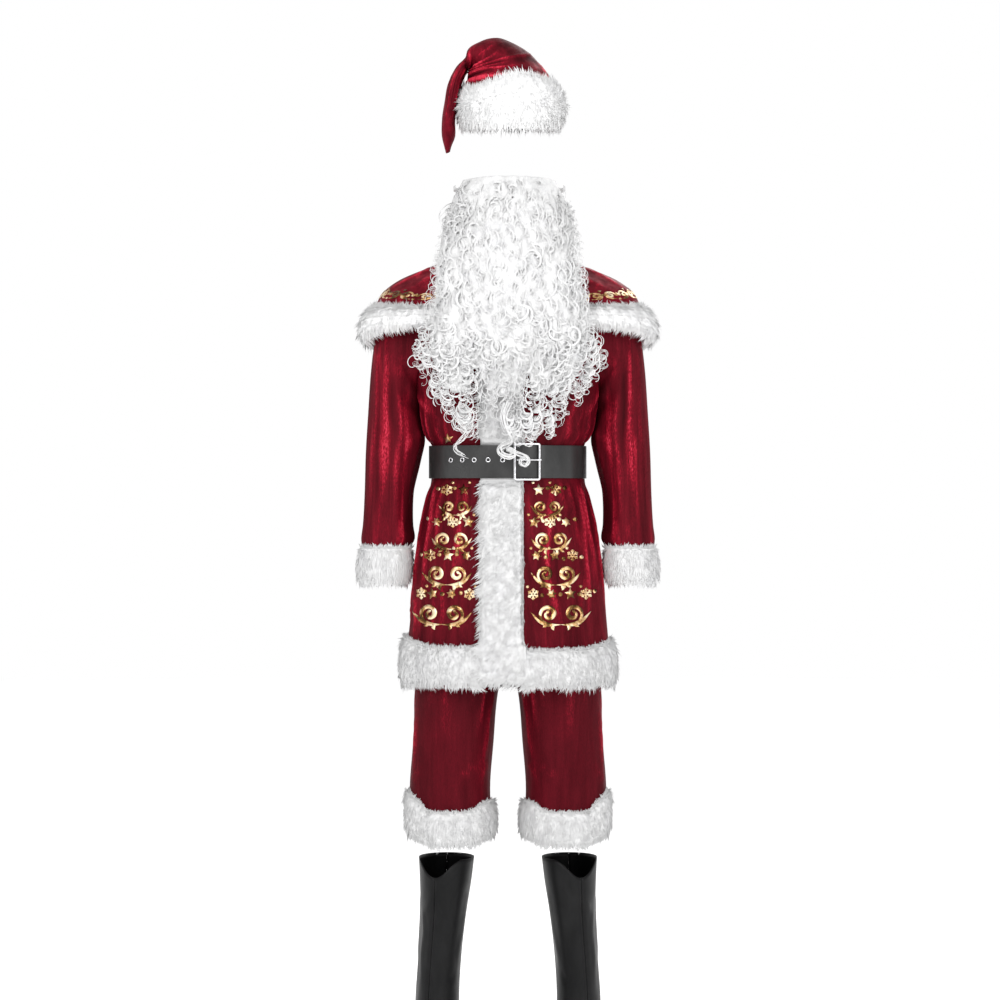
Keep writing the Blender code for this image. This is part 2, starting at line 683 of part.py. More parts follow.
def strap_angles():
    """Stations of the strap from its fixed end behind the buckle, round by the left, to its free end."""
    fixed = belt_angle_at(STRAP_START_X)
    front = 0.85
    fine = 0.065
    coarse = 0.18
    turns = [np.arange(fixed, -front, -fine), np.arange(-front, front - 2 * math.pi, -coarse),
             np.arange(front - 2 * math.pi, -front - 2 * math.pi, -fine),
             np.linspace(-front - 2 * math.pi, -2 * math.pi - STRAP_END, 5)]
    return np.concatenate(turns)


def strap_lift(angle):
    """The strap's second turn lies on its first, rising just before it meets it."""
    rise = np.clip((RISE_START - 2 * math.pi - angle) / RISE_SPAN, 0, 1)
    rise = rise * rise * (3 - 2 * rise)
    return over_placket(angle) + 2 * SEAM + (STRAP + SEAM) * rise


def strap_face(angle, height):
    """The strap's outer face; its second turn lies a whole turn below zero."""
    outward = (strap_lift(angle) + STRAP)[..., None] * normals(belt_ring, angle, height)
    return belt_ring(angle, height) + outward


def belt_strap():
    u, v = np.meshgrid(strap_angles(), np.array([BELT_BOTTOM_Z, BELT_TOP_Z]), indexing="ij")
    outer = strap_face(u, v)
    inner = outer - STRAP * normals(belt_ring, u, v)
    rings = np.stack([inner[:, 0], inner[:, 1], outer[:, 1], outer[:, 0]], axis=1)
    strap = loft("belt_strap", rings, "strap", False)
    pierce(strap)


def on_strap(x):
    """A place on the second turn's face at the eyelets' height: point, sideways, upward and outward."""
    angle = np.array(belt_angle_at(x) - 2 * math.pi)
    level = np.array(EYELET_Z)
    normal = normals(strap_face, angle, level)
    side = np.array([-normal[1], normal[0], 0.0])
    return strap_face(angle, level), side, np.array([0.0, 0.0, 1.0]), normal


def pierce(strap):
    """Holes of the eyelets through the strap's free end."""
    for index, x in enumerate(EYELET_X):
        point, side, up, normal = on_strap(x)
        ring = [(side * math.cos(turned) + up * math.sin(turned)) * HOLE_RADIUS
                for turned in np.linspace(0, 2 * math.pi, 9)[:-1]]
        rings = [[point + corner + normal * depth for corner in ring] for depth in (-STRAP - SEAM / 2, 2 * MM)]
        cutter = loft(f"hole_cutter_{index}", rings, "strap", False)
        cutter.hide_render = True
        cutter.display_type = "WIRE"
        cut = strap.modifiers.new(f"hole_{index}", "BOOLEAN")
        cut.operation = "DIFFERENCE"
        cut.solver = "EXACT"
        cut.object = cutter


def eyelets():
    profile = ((HOLE_RADIUS, 0.35 * MM), (2.9 * MM, 1.3 * MM), (4.0 * MM, 1.3 * MM), (EYELET_RADIUS, 0.35 * MM))
    for index, x in enumerate(EYELET_X):
        point, side, up, normal = on_strap(x)
        rings = []
        for turned in np.linspace(0, 2 * math.pi, 11)[:-1]:
            outward = side * math.cos(turned) + up * math.sin(turned)
            rings.append([point + outward * radius + normal * height for radius, height in profile])
        loft(f"belt_eyelet_{index + 1}", rings, "metal", True)


def buckle_places():
    """The buckle's plane: it lies on the strap, across both of its bars."""
    left, side, up, normal = on_strap(BUCKLE_LEFT_X)
    right = on_strap(BUCKLE_RIGHT_X)[0]
    across = right - left
    across[2] = 0
    span = np.linalg.norm(across)
    across /= span
    out = np.cross(across, up)
    origin = left + out * BUCKLE_LIFT
    origin[2] = (BELT_TOP_Z + BELT_BOTTOM_Z) / 2
    return origin, across, span, up, out


def buckle_frame():
    origin, across, span, up, out = buckle_places()
    half = BUCKLE_HEIGHT / 2 - BUCKLE_BAR / 2
    corner = 3 * MM
    path = []
    for cx, cz, start in ((span - corner, half - corner, 0), (corner, half - corner, 90),
                          (corner, -half + corner, 180), (span - corner, -half + corner, 270)):
        for step in (0, 45, 90):
            turned = math.radians(start + step)
            direction = across * math.cos(turned) + up * math.sin(turned)
            path.append((origin + across * cx + up * cz + direction * corner, direction))
    rings = []
    for point, direction in path:
        rings.append([point + (direction * math.cos(a) + out * math.sin(a) * 0.8) * BUCKLE_BAR / 2
                      for a in np.linspace(0, 2 * math.pi, 9)[:-1]])
    loft("buckle_frame", rings, "metal", True)


def buckle_prong():
    origin, across, span, up, out = buckle_places()
    level = up * (EYELET_Z - (BELT_TOP_Z + BELT_BOTTOM_Z) / 2)
    rest = (BUCKLE_BAR / 2 * 0.8 + 1.5 * MM + SEAM)
    runs = ((3.4, 0.6, 1.0), (8, 1.2, 1.0), (18, 1.5, 1.0), (30, rest / MM - 1.0, 1.0), (span / MM - 3, rest / MM, 1.0),
            (span / MM + 3.2, rest / MM - 0.1, 0.8))
    rings = []
    for place, height, share in runs:
        centre = origin + level + across * place * MM + out * height * MM
        rings.append([centre + (up * math.cos(a) * 1.6 + out * math.sin(a) * 1.3) * MM * share
                      for a in np.linspace(0, 2 * math.pi, 9)[:-1]])
    loft("buckle_prong", rings, "metal", False)


# ---------------------------------------------------------------- trousers

def trouser_heights():
    return np.array([TROUSER_END_Z, -990 * MM, TROUSER_CUFF_TOP, -880 * MM, -815 * MM, -755 * MM, -710 * MM,
                     CROTCH_Z, -652 * MM, -625 * MM, -595 * MM, -560 * MM, -460 * MM, WAIST_Z])


def trouser_panels():
    heights = trouser_heights()
    inner = leg_inner_angle(heights)
    gap = HALF_SEAM / (80 * MM)
    inner_front = np.maximum(inner, -math.pi / 2 + gap)
    share = np.linspace(0, 1, LEG_CELLS + 1)[None, :]
    outer = np.full_like(inner, math.pi / 2 - gap)
    front = inner_front[:, None] * (1 - share) + outer[:, None] * share
    back = math.pi - front
    v = np.repeat(heights[:, None], LEG_CELLS + 1, axis=1)
    wall("trouser_front_right", leg, front, v, VELVET, "velvet")
    wall("trouser_front_left", mirrored(leg), front, v, VELVET, "velvet", inward=-1)
    wall("trouser_back_right", leg, back, v, VELVET, "velvet")
    wall("trouser_back_left", mirrored(leg), back, v, VELVET, "velvet", inward=-1)


def waistband():
    angles = np.linspace(0, 2 * math.pi, 2 * LEG_CELLS + 1)[:-1]
    profile = [(WAIST_Z + SEAM, 0), (WAIST_Z + 30 * MM, 0), (WAIST_Z + 30 * MM, -3 * MM), (WAIST_Z + SEAM, -3 * MM)]
    band("waistband", trouser_waist, angles, profile, "velvet", True)


def trouser_waist(angle, height):
    points = leg(angle, np.full_like(height, WAIST_Z))
    points[..., 2] = height
    return points


def trouser_cuffs():
    angles = np.linspace(0, 2 * math.pi, 2 * LEG_CELLS + 1)[:-1]
    profile = puffed(TROUSER_CUFF_TOP, TROUSER_CUFF_BOTTOM, 12 * MM, (TROUSER_END_Z, -990 * MM))
    band("trouser_cuff_right", leg, angles, profile, "plush", True)
    band("trouser_cuff_left", mirrored(leg), angles, profile, "plush", True, outward=-1)


# ---------------------------------------------------------------- boot covers

def boot_panels():
    outer_seam = BOOT_SEAM
    heights = np.array([BOOT_BOTTOM_Z, -1492 * MM, -1455 * MM, -1410 * MM, -1350 * MM, -1270 * MM, -1185 * MM,
                        -1110 * MM, BOOT_TOP_Z])
    gap = HALF_SEAM / (38 * MM)
    for name, first, last, count in (("outer", outer_seam + gap, math.pi - gap, 7),
                                     ("inner", math.pi + gap, 2 * math.pi + outer_seam - gap, 9)):
        share = np.linspace(0, 1, count)[None, :]
        angles = np.repeat(first * (1 - share) + last * share, len(heights), axis=0)
        from_seam = np.abs(turn(angles - outer_seam)) / math.radians(60)
        dip = BOOT_NOTCH * np.clip(1 - from_seam, 0, 1)
        rise = np.clip((heights + 1.235) / (BOOT_TOP_Z + 1.235), 0, 1)[:, None]
        v = heights[:, None] - dip * rise
        wall(f"boot_{name}_right", boot, angles, v, VELVET, "boot")
        wall(f"boot_{name}_left", mirrored(boot), angles, v, VELVET, "boot", inward=-1)


def boot_elastics():
    """The strap that runs under the instep, from one side of the cover's edge to the other."""
    level = BOOT_BOTTOM_Z
    for side, sign in (("right", 1), ("left", -1)):
        inner = boot(np.array(-math.pi / 2), np.array(level))
        outer = boot(np.array(math.pi / 2), np.array(level))
        middle = (inner + outer) / 2
        run = ((outer[0], 0.6), (outer[0] - 12 * MM, 5.5), (middle[0], 7), (inner[0] + 12 * MM, 5.5), (inner[0], 0.6))
        rings = []
        for x, drop in run:
            top = level - drop * MM
            rings.append([(sign * x, middle[1] - 12 * MM, top), (sign * x, middle[1] + 12 * MM, top),
                          (sign * x, middle[1] + 12 * MM, top - 1.4 * MM),
                          (sign * x, middle[1] - 12 * MM, top - 1.4 * MM)])
        loft(f"boot_elastic_{side}", rings, "elastic", False)


# ---------------------------------------------------------------- hat

def hat_crown():
    runs = np.array([0.0, 0.09, 0.18, BRIM_TOP, 0.31, 0.38, 0.45, 0.53, 0.60, 0.66, 0.71, 0.76, 0.81, 0.86,
                     0.91, 0.95, 0.98, 0.995])
    gap = 0.004
    count = 9
    for name, middle in (("front", 0.0), ("back", math.pi)):
        angles = np.linspace(middle - math.pi / 2 + gap, middle + math.pi / 2 - gap, count)
        v, u = np.meshgrid(runs, angles, indexing="ij")
        wall(f"hat_crown_{name}", hat, u, v, 1.6 * MM, "velvet")


def hat_brim():
    angles = np.linspace(0, 2 * math.pi, 17)[:-1]
    pile = ((0.0, 0.0), (0.02, 0.55), (0.2, 0.92), (0.5, 1.0), (0.8, 0.95), (0.98, 0.6), (1.0, 0.0))
    band("hat_brim", hat, angles, puffed(BRIM_TOP, BRIM_BOTTOM, BRIM_PLUSH, (0.0, 0.09, 0.18), pile), "plush", True)


# ---------------------------------------------------------------- beard

def beard(across, height):
    """The front of the beard's mass: across runs from 0 at its left edge to 1 at its right."""
    read = {name: MM * column(BEARD, BEARD_COLUMNS, name, height / MM) for name in BEARD_COLUMNS[1:]}
    side = 2 * across - 1
    x = read["left"] + (read["right"] - read["left"]) * across
    wave = np.sin(across * BEARD_WAVES * math.pi + 3 * np.sin(height * 38)) * BEARD_WAVE
    wave = wave * (1 - np.abs(side) ** 4)
    y = read["front"] + read["wrap"] * np.abs(side) ** 2.6 - wave
    return np.stack([x, y, height], axis=-1)


def beard_back(across, height):
    thick = MM * column(BEARD, BEARD_COLUMNS, "thick", height / MM)
    wrap = MM * column(BEARD, BEARD_COLUMNS, "wrap", height / MM)
    side = 2 * across - 1
    points = beard(across, height)
    smooth_front = MM * column(BEARD, BEARD_COLUMNS, "front", height / MM) + wrap * np.abs(side) ** 2.6
    points[..., 1] = smooth_front + thick * (1 - 0.62 * side**2)
    return points


def beard_piece():
    columns = 25
    heights = np.array([-312, -290, -264, -238, -212, -188, -164, -138, -108, -74, -40, -6, 28, 62, 96, 130,
                        160]) * MM
    share = np.linspace(0, 1, columns)
    u, v = np.meshgrid(share, heights)
    front = beard(u, v)
    back = beard_back(u, v)
    rows = len(heights)
    count = rows * columns
    faces = grid_faces(rows, columns, 0, False) + grid_faces(rows, columns, count, False)
    points = list(np.concatenate([front.reshape(-1, 3), back.reshape(-1, 3)]))
    border = [col for col in range(columns)]
    border += [row * columns + columns - 1 for row in range(1, rows)]
    border += [(rows - 1) * columns + col for col in range(columns - 2, -1, -1)]
    border += [row * columns for row in range(rows - 2, 0, -1)]
    edges = len(border)
    for place in range(edges):
        here = border[place]
        after = border[(place + 1) % edges]
        quad = (here, after, after + count, here + count)
        along_bottom = place < columns - 1
        along_side = columns - 1 <= place < columns + 10 or place >= edges - 11
        if (along_bottom or along_side) and place % 2 == 1:
            faces += curled_lock(points, quad, place, along_bottom)
        else:
            faces.append(quad)
    solid("beard", points, faces, "hair")


def curled_lock(points, quad, seed, hanging):
    """A four-sided lock grown from one quad of the beard's rim: it runs out, curls and narrows."""
    base = np.array([points[index] for index in quad])
    centre = base.mean(axis=0)
    sideways = math.copysign(1.0, centre[0])
    length = (26 + 13 * math.sin(seed * 2.1)) * MM if hanging else (15 + 6 * math.sin(seed * 1.7)) * MM
    heading = np.array([0.25 * sideways, 0.0, -1.0]) if hanging else np.array([0.75 * sideways, 0.0, -0.65])
    heading /= np.linalg.norm(heading)
    bend = np.array([math.sin(seed * 1.3), 0.0, 0.0]) * 0.5
    faces = []
    last = list(quad)
    steps = 3
    for step in range(1, steps + 1):
        share = step / steps
        moved = centre + heading * length * share + bend * length * share * share
        scale = 1 - (1 - LOCK_TAPER * 0.6) * share
        start = len(points)
        for corner in base:
            points.append(moved + (corner - centre) * scale)
        ring = [start + index for index in range(4)]
        for index in range(4):
            after = (index + 1) % 4
            faces.append((last[index], last[after], ring[after], ring[index]))
        last = ring
    faces.append(tuple(last))
    return faces


def beard_elastic():
    """The plain band that holds the beard on: from edge to edge of the beard, round the back of the head."""
    left = beard_back(np.array(0.0), np.array(ELASTIC_Z))
    right = beard_back(np.array(1.0), np.array(ELASTIC_Z))
    start = math.radians(75)
    middle = (left[0] + right[0]) / 2
    half = (right[0] - left[0]) / 2 / math.sin(start)
    front = -(left[1] + SEAM) / math.cos(start)
    up = np.array([0.0, 0.0, 4 * MM])
    rings = []
    for angle in np.linspace(start, 2 * math.pi - start, 19):
        x, y = section(np.array(angle), half, front, 98 * MM, 2.0)
        out = np.array([x, y, 0.0]) / math.hypot(x, y)
        point = np.array([x + middle, y, ELASTIC_Z])
        rings.append([point - up, point + up, point + up + out * 1.4 * MM, point - up + out * 1.4 * MM])
    loft("beard_elastic", rings, "elastic", False)


def clear_scene():
    for old in list(bpy.data.objects):
        bpy.data.objects.remove(old, do_unlink=True)


def build():
    clear_scene()
    coat_panels()
    sleeves()
    cuffs()
    placket()
    hem_trim()
    cape_panels()
    cape_trim()
    neckband()
    belt_strap()
    eyelets()
    buckle_frame()
    buckle_prong()
    trouser_panels()
    waistband()
    trouser_cuffs()
    boot_panels()
    boot_elastics()
    hat_crown()
    hat_brim()
    beard_piece()
    beard_elastic()


build()
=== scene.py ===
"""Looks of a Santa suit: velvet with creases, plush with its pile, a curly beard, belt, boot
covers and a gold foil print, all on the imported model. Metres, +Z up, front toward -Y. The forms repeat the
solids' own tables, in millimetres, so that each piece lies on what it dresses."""

import math
from types import SimpleNamespace

import bmesh
import bpy
import numpy as np
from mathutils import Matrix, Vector


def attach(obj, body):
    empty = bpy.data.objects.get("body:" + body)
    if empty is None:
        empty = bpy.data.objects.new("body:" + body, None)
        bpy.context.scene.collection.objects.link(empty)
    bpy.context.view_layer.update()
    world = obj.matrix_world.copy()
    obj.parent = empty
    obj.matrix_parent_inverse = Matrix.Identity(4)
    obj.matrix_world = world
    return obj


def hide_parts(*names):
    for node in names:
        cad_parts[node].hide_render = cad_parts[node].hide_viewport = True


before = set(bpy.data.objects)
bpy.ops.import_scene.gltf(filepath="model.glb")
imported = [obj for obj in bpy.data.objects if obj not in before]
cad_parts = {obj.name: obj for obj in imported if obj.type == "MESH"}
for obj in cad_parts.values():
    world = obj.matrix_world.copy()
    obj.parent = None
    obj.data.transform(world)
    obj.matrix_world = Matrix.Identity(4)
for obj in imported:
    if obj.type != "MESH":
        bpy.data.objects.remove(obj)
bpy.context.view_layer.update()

MM = 0.001
SEAM = 0.3 * MM
HALF_SEAM = SEAM / 2
STEP = 1e-4
NEWTON_STEPS = 12
WAVE_COUNT = 6
CREASE_START = 0.12
CREASE_FADE = 0.5
UP = np.array([0.0, 0.0, 1.0])

PLUSH = 16 * MM

# Heights on the coat
NECK_Z = 26 * MM
SHOULDER_TIP_Z = -38 * MM
ARMPIT_Z = -205 * MM
BELT_TOP_Z = -317 * MM
BELT_BOTTOM_Z = -375.4 * MM
BELT_MIDDLE_Z = (BELT_TOP_Z + BELT_BOTTOM_Z) / 2
BELT_HALF = (BELT_TOP_Z - BELT_BOTTOM_Z) / 2
HEM_Z = -735 * MM
HEM_TRIM_TOP_Z = -656 * MM
HEM_TRIM_BOTTOM_Z = -752 * MM
ARMHOLE_FRONT = math.radians(37)
ARMHOLE_BACK = math.radians(34)
NECK_DROP = 34 * MM
NECK_DROP_START_Z = -100 * MM
CLOTH = 1.6 * MM
HAT_CLOTH = 1.2 * MM

# The plush placket, from the neck to the hem
PLACKET_LEFT = -49 * MM
PLACKET_RIGHT = 27 * MM
FRONT_SEAM_X = 16 * MM
PLACKET_GAP = 0.7 * MM
PLACKET_PILE = 15.5 * MM
PRESSED_SHARE = 0.16
PRESSED_MARGIN = 2 * MM
PRESSED_FADE = 14 * MM
CAPE_GAP = 0.8 * MM
CAPE_TRIM_TOP = 0.8
CAPE_PLUSH = 25 * MM

# Belt and buckle
BELT_DEPTH = 104 * MM
PLACKET_UNDER_BELT = 3.1 * MM
STRAP_EASE = 0.16
STRAP = 2.6 * MM
STRAP_ROW_Z = -346 * MM
BUCKLE_LEFT_X = 10.5 * MM
BUCKLE_RIGHT_X = 53 * MM
BUCKLE_BAR = 4.6 * MM
BUCKLE_HEIGHT = 67.6 * MM
EYELET_X = (-98 * MM, -78.5 * MM, -57.5 * MM, -34 * MM, -9.5 * MM)
HOLE_RADIUS = 2.4 * MM
EYELET_Z = -343 * MM
STRAP_START_X = 16 * MM
STRAP_END = math.radians(78)
RISE_START = 0.62
RISE_SPAN = 0.2
BUCKLE_LIFT = 4.6 * MM

# Trousers and boot covers
WAIST_Z = -375 * MM
TROUSER_END_Z = -1030 * MM
BOOT_TOP_Z = -1057 * MM
BOOT_BOTTOM_Z = -1524 * MM


class Table:
    """Rows of millimetres, shares or powers with named columns, read smoothly along the first column."""

    def __init__(self, columns, *rows):
        self.columns = columns.split()
        self.rows = np.array(sorted(rows), dtype=float)

    def __call__(self, name, at):
        """The named column as it stands in the table, at these places of the first column."""
        keys = self.rows[:, 0]
        values = self.rows[:, self.columns.index(name)]
        slopes = np.gradient(values, keys)
        at = np.clip(at, keys[0], keys[-1])
        index = np.clip(np.searchsorted(keys, at, side="right") - 1, 0, len(keys) - 2)
        span = keys[index + 1] - keys[index]
        t = (at - keys[index]) / span
        return (
            values[index] * (2 * t**3 - 3 * t**2 + 1)
            + slopes[index] * span * (t**3 - 2 * t**2 + t)
            + values[index + 1] * (3 * t**2 - 2 * t**3)
            + slopes[index + 1] * span * (t**3 - t**2)
        )

    def metres(self, at):
        """All the columns times a millimetre, at these places."""
        return SimpleNamespace(**{name: MM * self(name, at) for name in self.columns[1:]})


# Sections, all in millimetres. Coat: height, half width, front and back depth, squareness, fold depth
COAT = Table(
    "z width front back power fold",
    (-760, 186, 139, 140, 2.1, 7.0),
    (-690, 183, 137, 138, 2.1, 7.0),
    (-600, 174, 131, 133, 2.1, 7.0),
    (-520, 165, 124, 128, 2.2, 6.0),
    (-450, 154, 116, 119, 2.2, 4.5),
    (-400, 142.5, 108, 106, 2.2, 2.0),
    (-378, 138, 104, 101, 2.2, 0),
    (-346, 138, 104, 101, 2.2, 0),
    (-314, 138, 104, 101, 2.2, 0),
    (-298, 147, 110, 106, 2.2, 2.5),
    (-250, 158, 117, 114, 2.2, 3.0),
    (-205, 166, 120, 118, 2.3, 2.0),
    (-150, 174, 121, 122, 2.3, 0.5),
    (-100, 184, 118, 122, 2.3, 0),
    (-60, 194, 110, 115, 2.2, 0),
    (-38, 196, 102, 107, 2.2, 0),
    (-15, 158, 88, 94, 2.1, 0),
    (5, 113, 73, 80, 2.0, 0),
    (26, 70, 57, 60, 2.0, 0),
    (34, 66, 55, 58, 2.0, 0),
)

# Broad pleats that fall from the belt and blouse above it: angle and half breadth in degrees, depth share
COAT_FOLDS = (
    (-112, 12, 1.0), (-70, 12, 0.9), (-42, 11, 0.4), (43, 11, 0.5), (71, 12, 1.0), (111, 12, 0.9),
    (140, 13, 0.8), (167, 12, 0.6), (-167, 12, 0.8), (-140, 12, 1.0),
)

# Cape: run from neck to hem, half width, front and back depth, height at side, front and back, squareness
CAPE = Table(
    "run width front back side_z front_z back_z power",
    (-0.1, 70, 60, 62, 42, 8, 46, 2.0),
    (0.0, 76, 63, 66, 34, 0, 38, 2.0),
    (0.25, 133, 90, 98, 8, -24, 16, 2.0),
    (0.5, 198, 113, 124, -20, -44, -16, 2.2),
    (0.7, 229, 126, 138, -46, -62, -50, 2.4),
    (0.85, 242, 132, 145, -74, -78, -84, 2.4),
    (1.0, 250, 136, 150, -106, -96, -124, 2.4),
    (1.2, 256, 140, 155, -148, -130, -172, 2.4),
)
CAPE_FOLDS = ((-118, 12, 1.0), (-150, 11, 0.7), (178, 11, 0.9), (148, 12, 0.8), (117, 12, 1.0), (68, 10, 0.5),
              (-62, 11, 0.6))
CAPE_FOLD = 5 * MM

# Sleeve (of the right side, mirrored for the left): run, outer line, inner line, half depth, shift back
SLEEVE = Table(
    "run outer_x outer_z inner_x inner_z depth back",
    (0.06, 212, -52, 167.5, -212, 66, -1),
    (0.14, 228, -82, 169.5, -222, 64, -2),
    (0.25, 239, -124, 170.5, -240, 60, -3),
    (0.38, 247, -185, 168.5, -268, 56, -3),
    (0.5, 252, -258, 160, -304, 54, -4),
    (0.62, 256, -328, 163, -346, 53, -6),
    (0.75, 258, -402, 170, -406, 52, -9),
    (0.88, 261, -458, 170.5, -458, 51, -12),
    (0.96, 264, -486, 168, -486, 49, -14),
    (1.0, 262, -497, 175, -497, 46, -15),
    (1.15, 264, -532, 179, -532, 45, -17),
    (1.32, 265, -572, 182, -572, 45, -19),
)
SLEEVE_FOLDS = ((-40, 20, 1.0), (20, 18, 0.7), (75, 20, 0.9), (140, 22, 0.6), (-150, 20, 0.8), (-95, 20, 0.7))
SLEEVE_FOLD = 4 * MM
ARMHOLE_RUN = 0.14
CUFF_RUN = 0.97

# Trouser leg (right side, mirrored): height, centre, half width, half depth, shift back
LEG = Table(
    "z centre width depth back",
    (-1050, 103, 73, 70, 8),
    (-1000, 103, 74, 72, 8),
    (-932, 105, 73, 75, 6),
    (-850, 99, 73, 78, 4),
    (-760, 93, 75, 82, 2),
    (-710, 88, 80, 86, 2),
    (-672, 84, 83.8, 92, 2),
    (-640, 66, 96, 96, 2),
    (-600, 36, 120, 96, 2),
    (-560, 0, 148, 94, 2),
    (-500, 0, 142, 92, 0),
    (-430, 0, 138, 96, -1),
    (-375, 0, 135.4, 99.9, -1.5),
    (-340, 0, 135.4, 99.9, -1.5),
)
LEG_FOLDS = ((-30, 16, 0.8), (15, 14, 1.0), (60, 16, 0.7), (-100, 18, 0.8), (150, 18, 1.0), (110, 16, 0.6))
LEG_FOLD = 3.5 * MM
LEG_FOLDS_BELOW = 0.62

# Boot cover (right side, mirrored): height, inner and outer x, front and back y
BOOT = Table(
    "z inner outer front rear",
    (-1530, 46, 166, -165, 62),
    (-1500, 58, 168, -150, 64),
    (-1460, 70, 168, -108, 66),
    (-1400, 84, 167, -62, 68),
    (-1314, 88, 167, -46, 74),
    (-1235, 84, 162, -48, 84),
    (-1150, 74, 158, -52, 92),
    (-1100, 66, 159, -54, 92),
    (-1050, 60, 161, -56, 88),
)
BOOT_SEAM = math.radians(24)
BOOT_NOTCH = 32 * MM
BOOT_NOTCH_LOW_Z = -1.235
BOOT_POWER = 2.1

# Hat crown: run from the brim to the tip, its right or outer line, its left or inner line, half depth
HAT = Table(
    "run outer_x outer_z inner_x inner_z depth",
    (-0.1, 87, 222, -75, 222, 99),
    (0.0, 87, 255, -75, 255, 100),
    (0.09, 87, 285, -75, 285, 100),
    (0.18, 86, 313, -75, 313, 98),
    (0.27, 76, 346, -73.5, 339, 92),
    (0.36, 60, 366, -72.5, 351, 84),
    (0.45, 38, 390, -70.5, 356, 74),
    (0.53, 8, 408, -68, 359, 64),
    (0.60, -20, 417, -67, 361, 56),
    (0.66, -48, 411, -68.5, 361, 50),
    (0.71, -74, 393, -73, 358, 46),
    (0.728, -76, 382, -74.5, 355, 45),
    (0.76, -92, 365, -77, 349, 42),
    (0.81, -108, 335, -83, 334, 38),
    (0.86, -114, 304, -88.5, 304, 34),
    (0.91, -119, 270, -95, 270, 29),
    (0.95, -119, 240, -95, 240, 23),
    (0.98, -114, 219, -102, 222, 12),
    (1.0, -111, 207, -105, 210, 6),
)
BRIM_PLUSH = 18.2 * MM

# Beard: height, left and right edges, front of the mass at its middle, how far its sides go back
BEARD = Table(
    "z left right front wrap",
    (160, -88, 92, -122, 92),
    (130, -100, 106, -140, 96),
    (90, -116, 124, -158, 88),
    (50, -124, 130, -170, 66),
    (0, -130, 130, -184, 44),
    (-60, -136, 138, -194, 36),
    (-110, -154, 154, -195, 30),
    (-150, -170, 172, -187, 30),
    (-175, -170, 174, -179, 30),
    (-205, -148, 146, -172, 28),
    (-250, -118, 120, -162, 20),
    (-286, -92, 92, -154, 12),
    (-312, -50, 58, -147, 6),
)


# ---------------------------------------------------------------- surfaces of the garments

def smooth(share):
    """A share that starts and ends softly, held between 0 and 1."""
    share = np.clip(share, 0, 1)
    return share * share * (3 - 2 * share)


def between(value, first, rise, last, fall):
    """1 between two limits, softly down to 0 outside them."""
    return smooth((value - first) / rise) * smooth((last - value) / fall)


def turn(angle):
    """The same angle between -pi and pi."""
    return (angle + math.pi) % math.tau - math.pi


def circle(count):
    """Angles spread evenly round one turn."""
    return np.linspace(0, math.tau, count + 1)[:-1]


def folds(angle, table):
    """The share of full fold depth at this angle, outward on the folds of the table."""
    total = np.zeros_like(angle)
    for centre, breadth, depth in table:
        offset = turn(angle - math.radians(centre)) / math.radians(breadth)
        total += depth * np.exp(-(offset**2))
    return total


def section(angle, width, front, back, power):
    """A point of a rounded section, as distances along X and Y from its centre."""
    sine = np.sin(angle)
    cosine = np.cos(angle)
    depth = np.where(cosine > 0, front, back)
    reach = (np.abs(sine) ** power + np.abs(cosine) ** power) ** (-1 / power)
    return width * sine * reach, -depth * cosine * reach


def coat(angle, height):
    """The outside of the coat's cloth."""
    now = COAT.metres(height / MM)
    fold = now.fold * (folds(angle, COAT_FOLDS) - 0.4)
    power = COAT("power", height / MM)
    x, y = section(angle, now.width + fold, now.front + fold, now.back + fold, power)
    neck = np.clip((height - NECK_DROP_START_Z) / (NECK_Z - NECK_DROP_START_Z), 0, 1) ** 2
    drop = NECK_DROP * neck * np.clip(np.cos(angle), 0, 1) ** 2
    return np.stack([x, y, height - drop], axis=-1)


def cape(angle, run):
    """The outside of the cape's cloth, from its neck (run 0) to its edge (run 1)."""
    now = CAPE.metres(run)
    fold = CAPE_FOLD * np.clip(run, 0, 1) ** 2 * (folds(angle, CAPE_FOLDS) - 0.3)
    x, y = section(angle, now.width + fold, now.front + fold, now.back + fold, CAPE("power", run))
    toward = np.cos(angle) ** 2
    end = np.where(np.cos(angle) > 0, CAPE("front_z", run), CAPE("back_z", run))
    return np.stack([x, y, MM * (CAPE("side_z", run) * (1 - toward) + end * toward)], axis=-1)


def armhole(angle):
    """The armhole's edge on the right side: 0 at the shoulder tip, a quarter turn to its front."""
    height = ARMPIT_Z + (SHOULDER_TIP_Z - ARMPIT_Z) * (1 + np.cos(angle)) / 2
    sine = np.sin(angle)
    opening = np.where(sine > 0, ARMHOLE_FRONT, ARMHOLE_BACK)
    return math.pi / 2 - opening * sine, height


def sleeve(angle, run):
    """The outside of the right sleeve: angle 0 on its outer line, a quarter turn at its front."""
    now = SLEEVE.metres(run)
    cosine = np.cos(angle)
    fold = SLEEVE_FOLD * np.clip((run - 0.2) / 0.4, 0, 1) * (folds(angle, SLEEVE_FOLDS) - 0.5)
    fold = fold * np.where(run > CUFF_RUN, 0.5, 1)
    x = (now.outer_x * (1 + cosine) + now.inner_x * (1 - cosine)) / 2 + fold * np.clip(cosine, 0, 1)
    z = (now.outer_z * (1 + cosine) + now.inner_z * (1 - cosine)) / 2
    y = now.back - (now.depth + fold) * np.sin(angle)
    end = np.stack([x, y, z], axis=-1)
    start = coat(*armhole(angle))
    start[..., 0] += 1.2 * SEAM
    share = smooth(run / ARMHOLE_RUN)[..., None]
    return start * (1 - share) + end * share


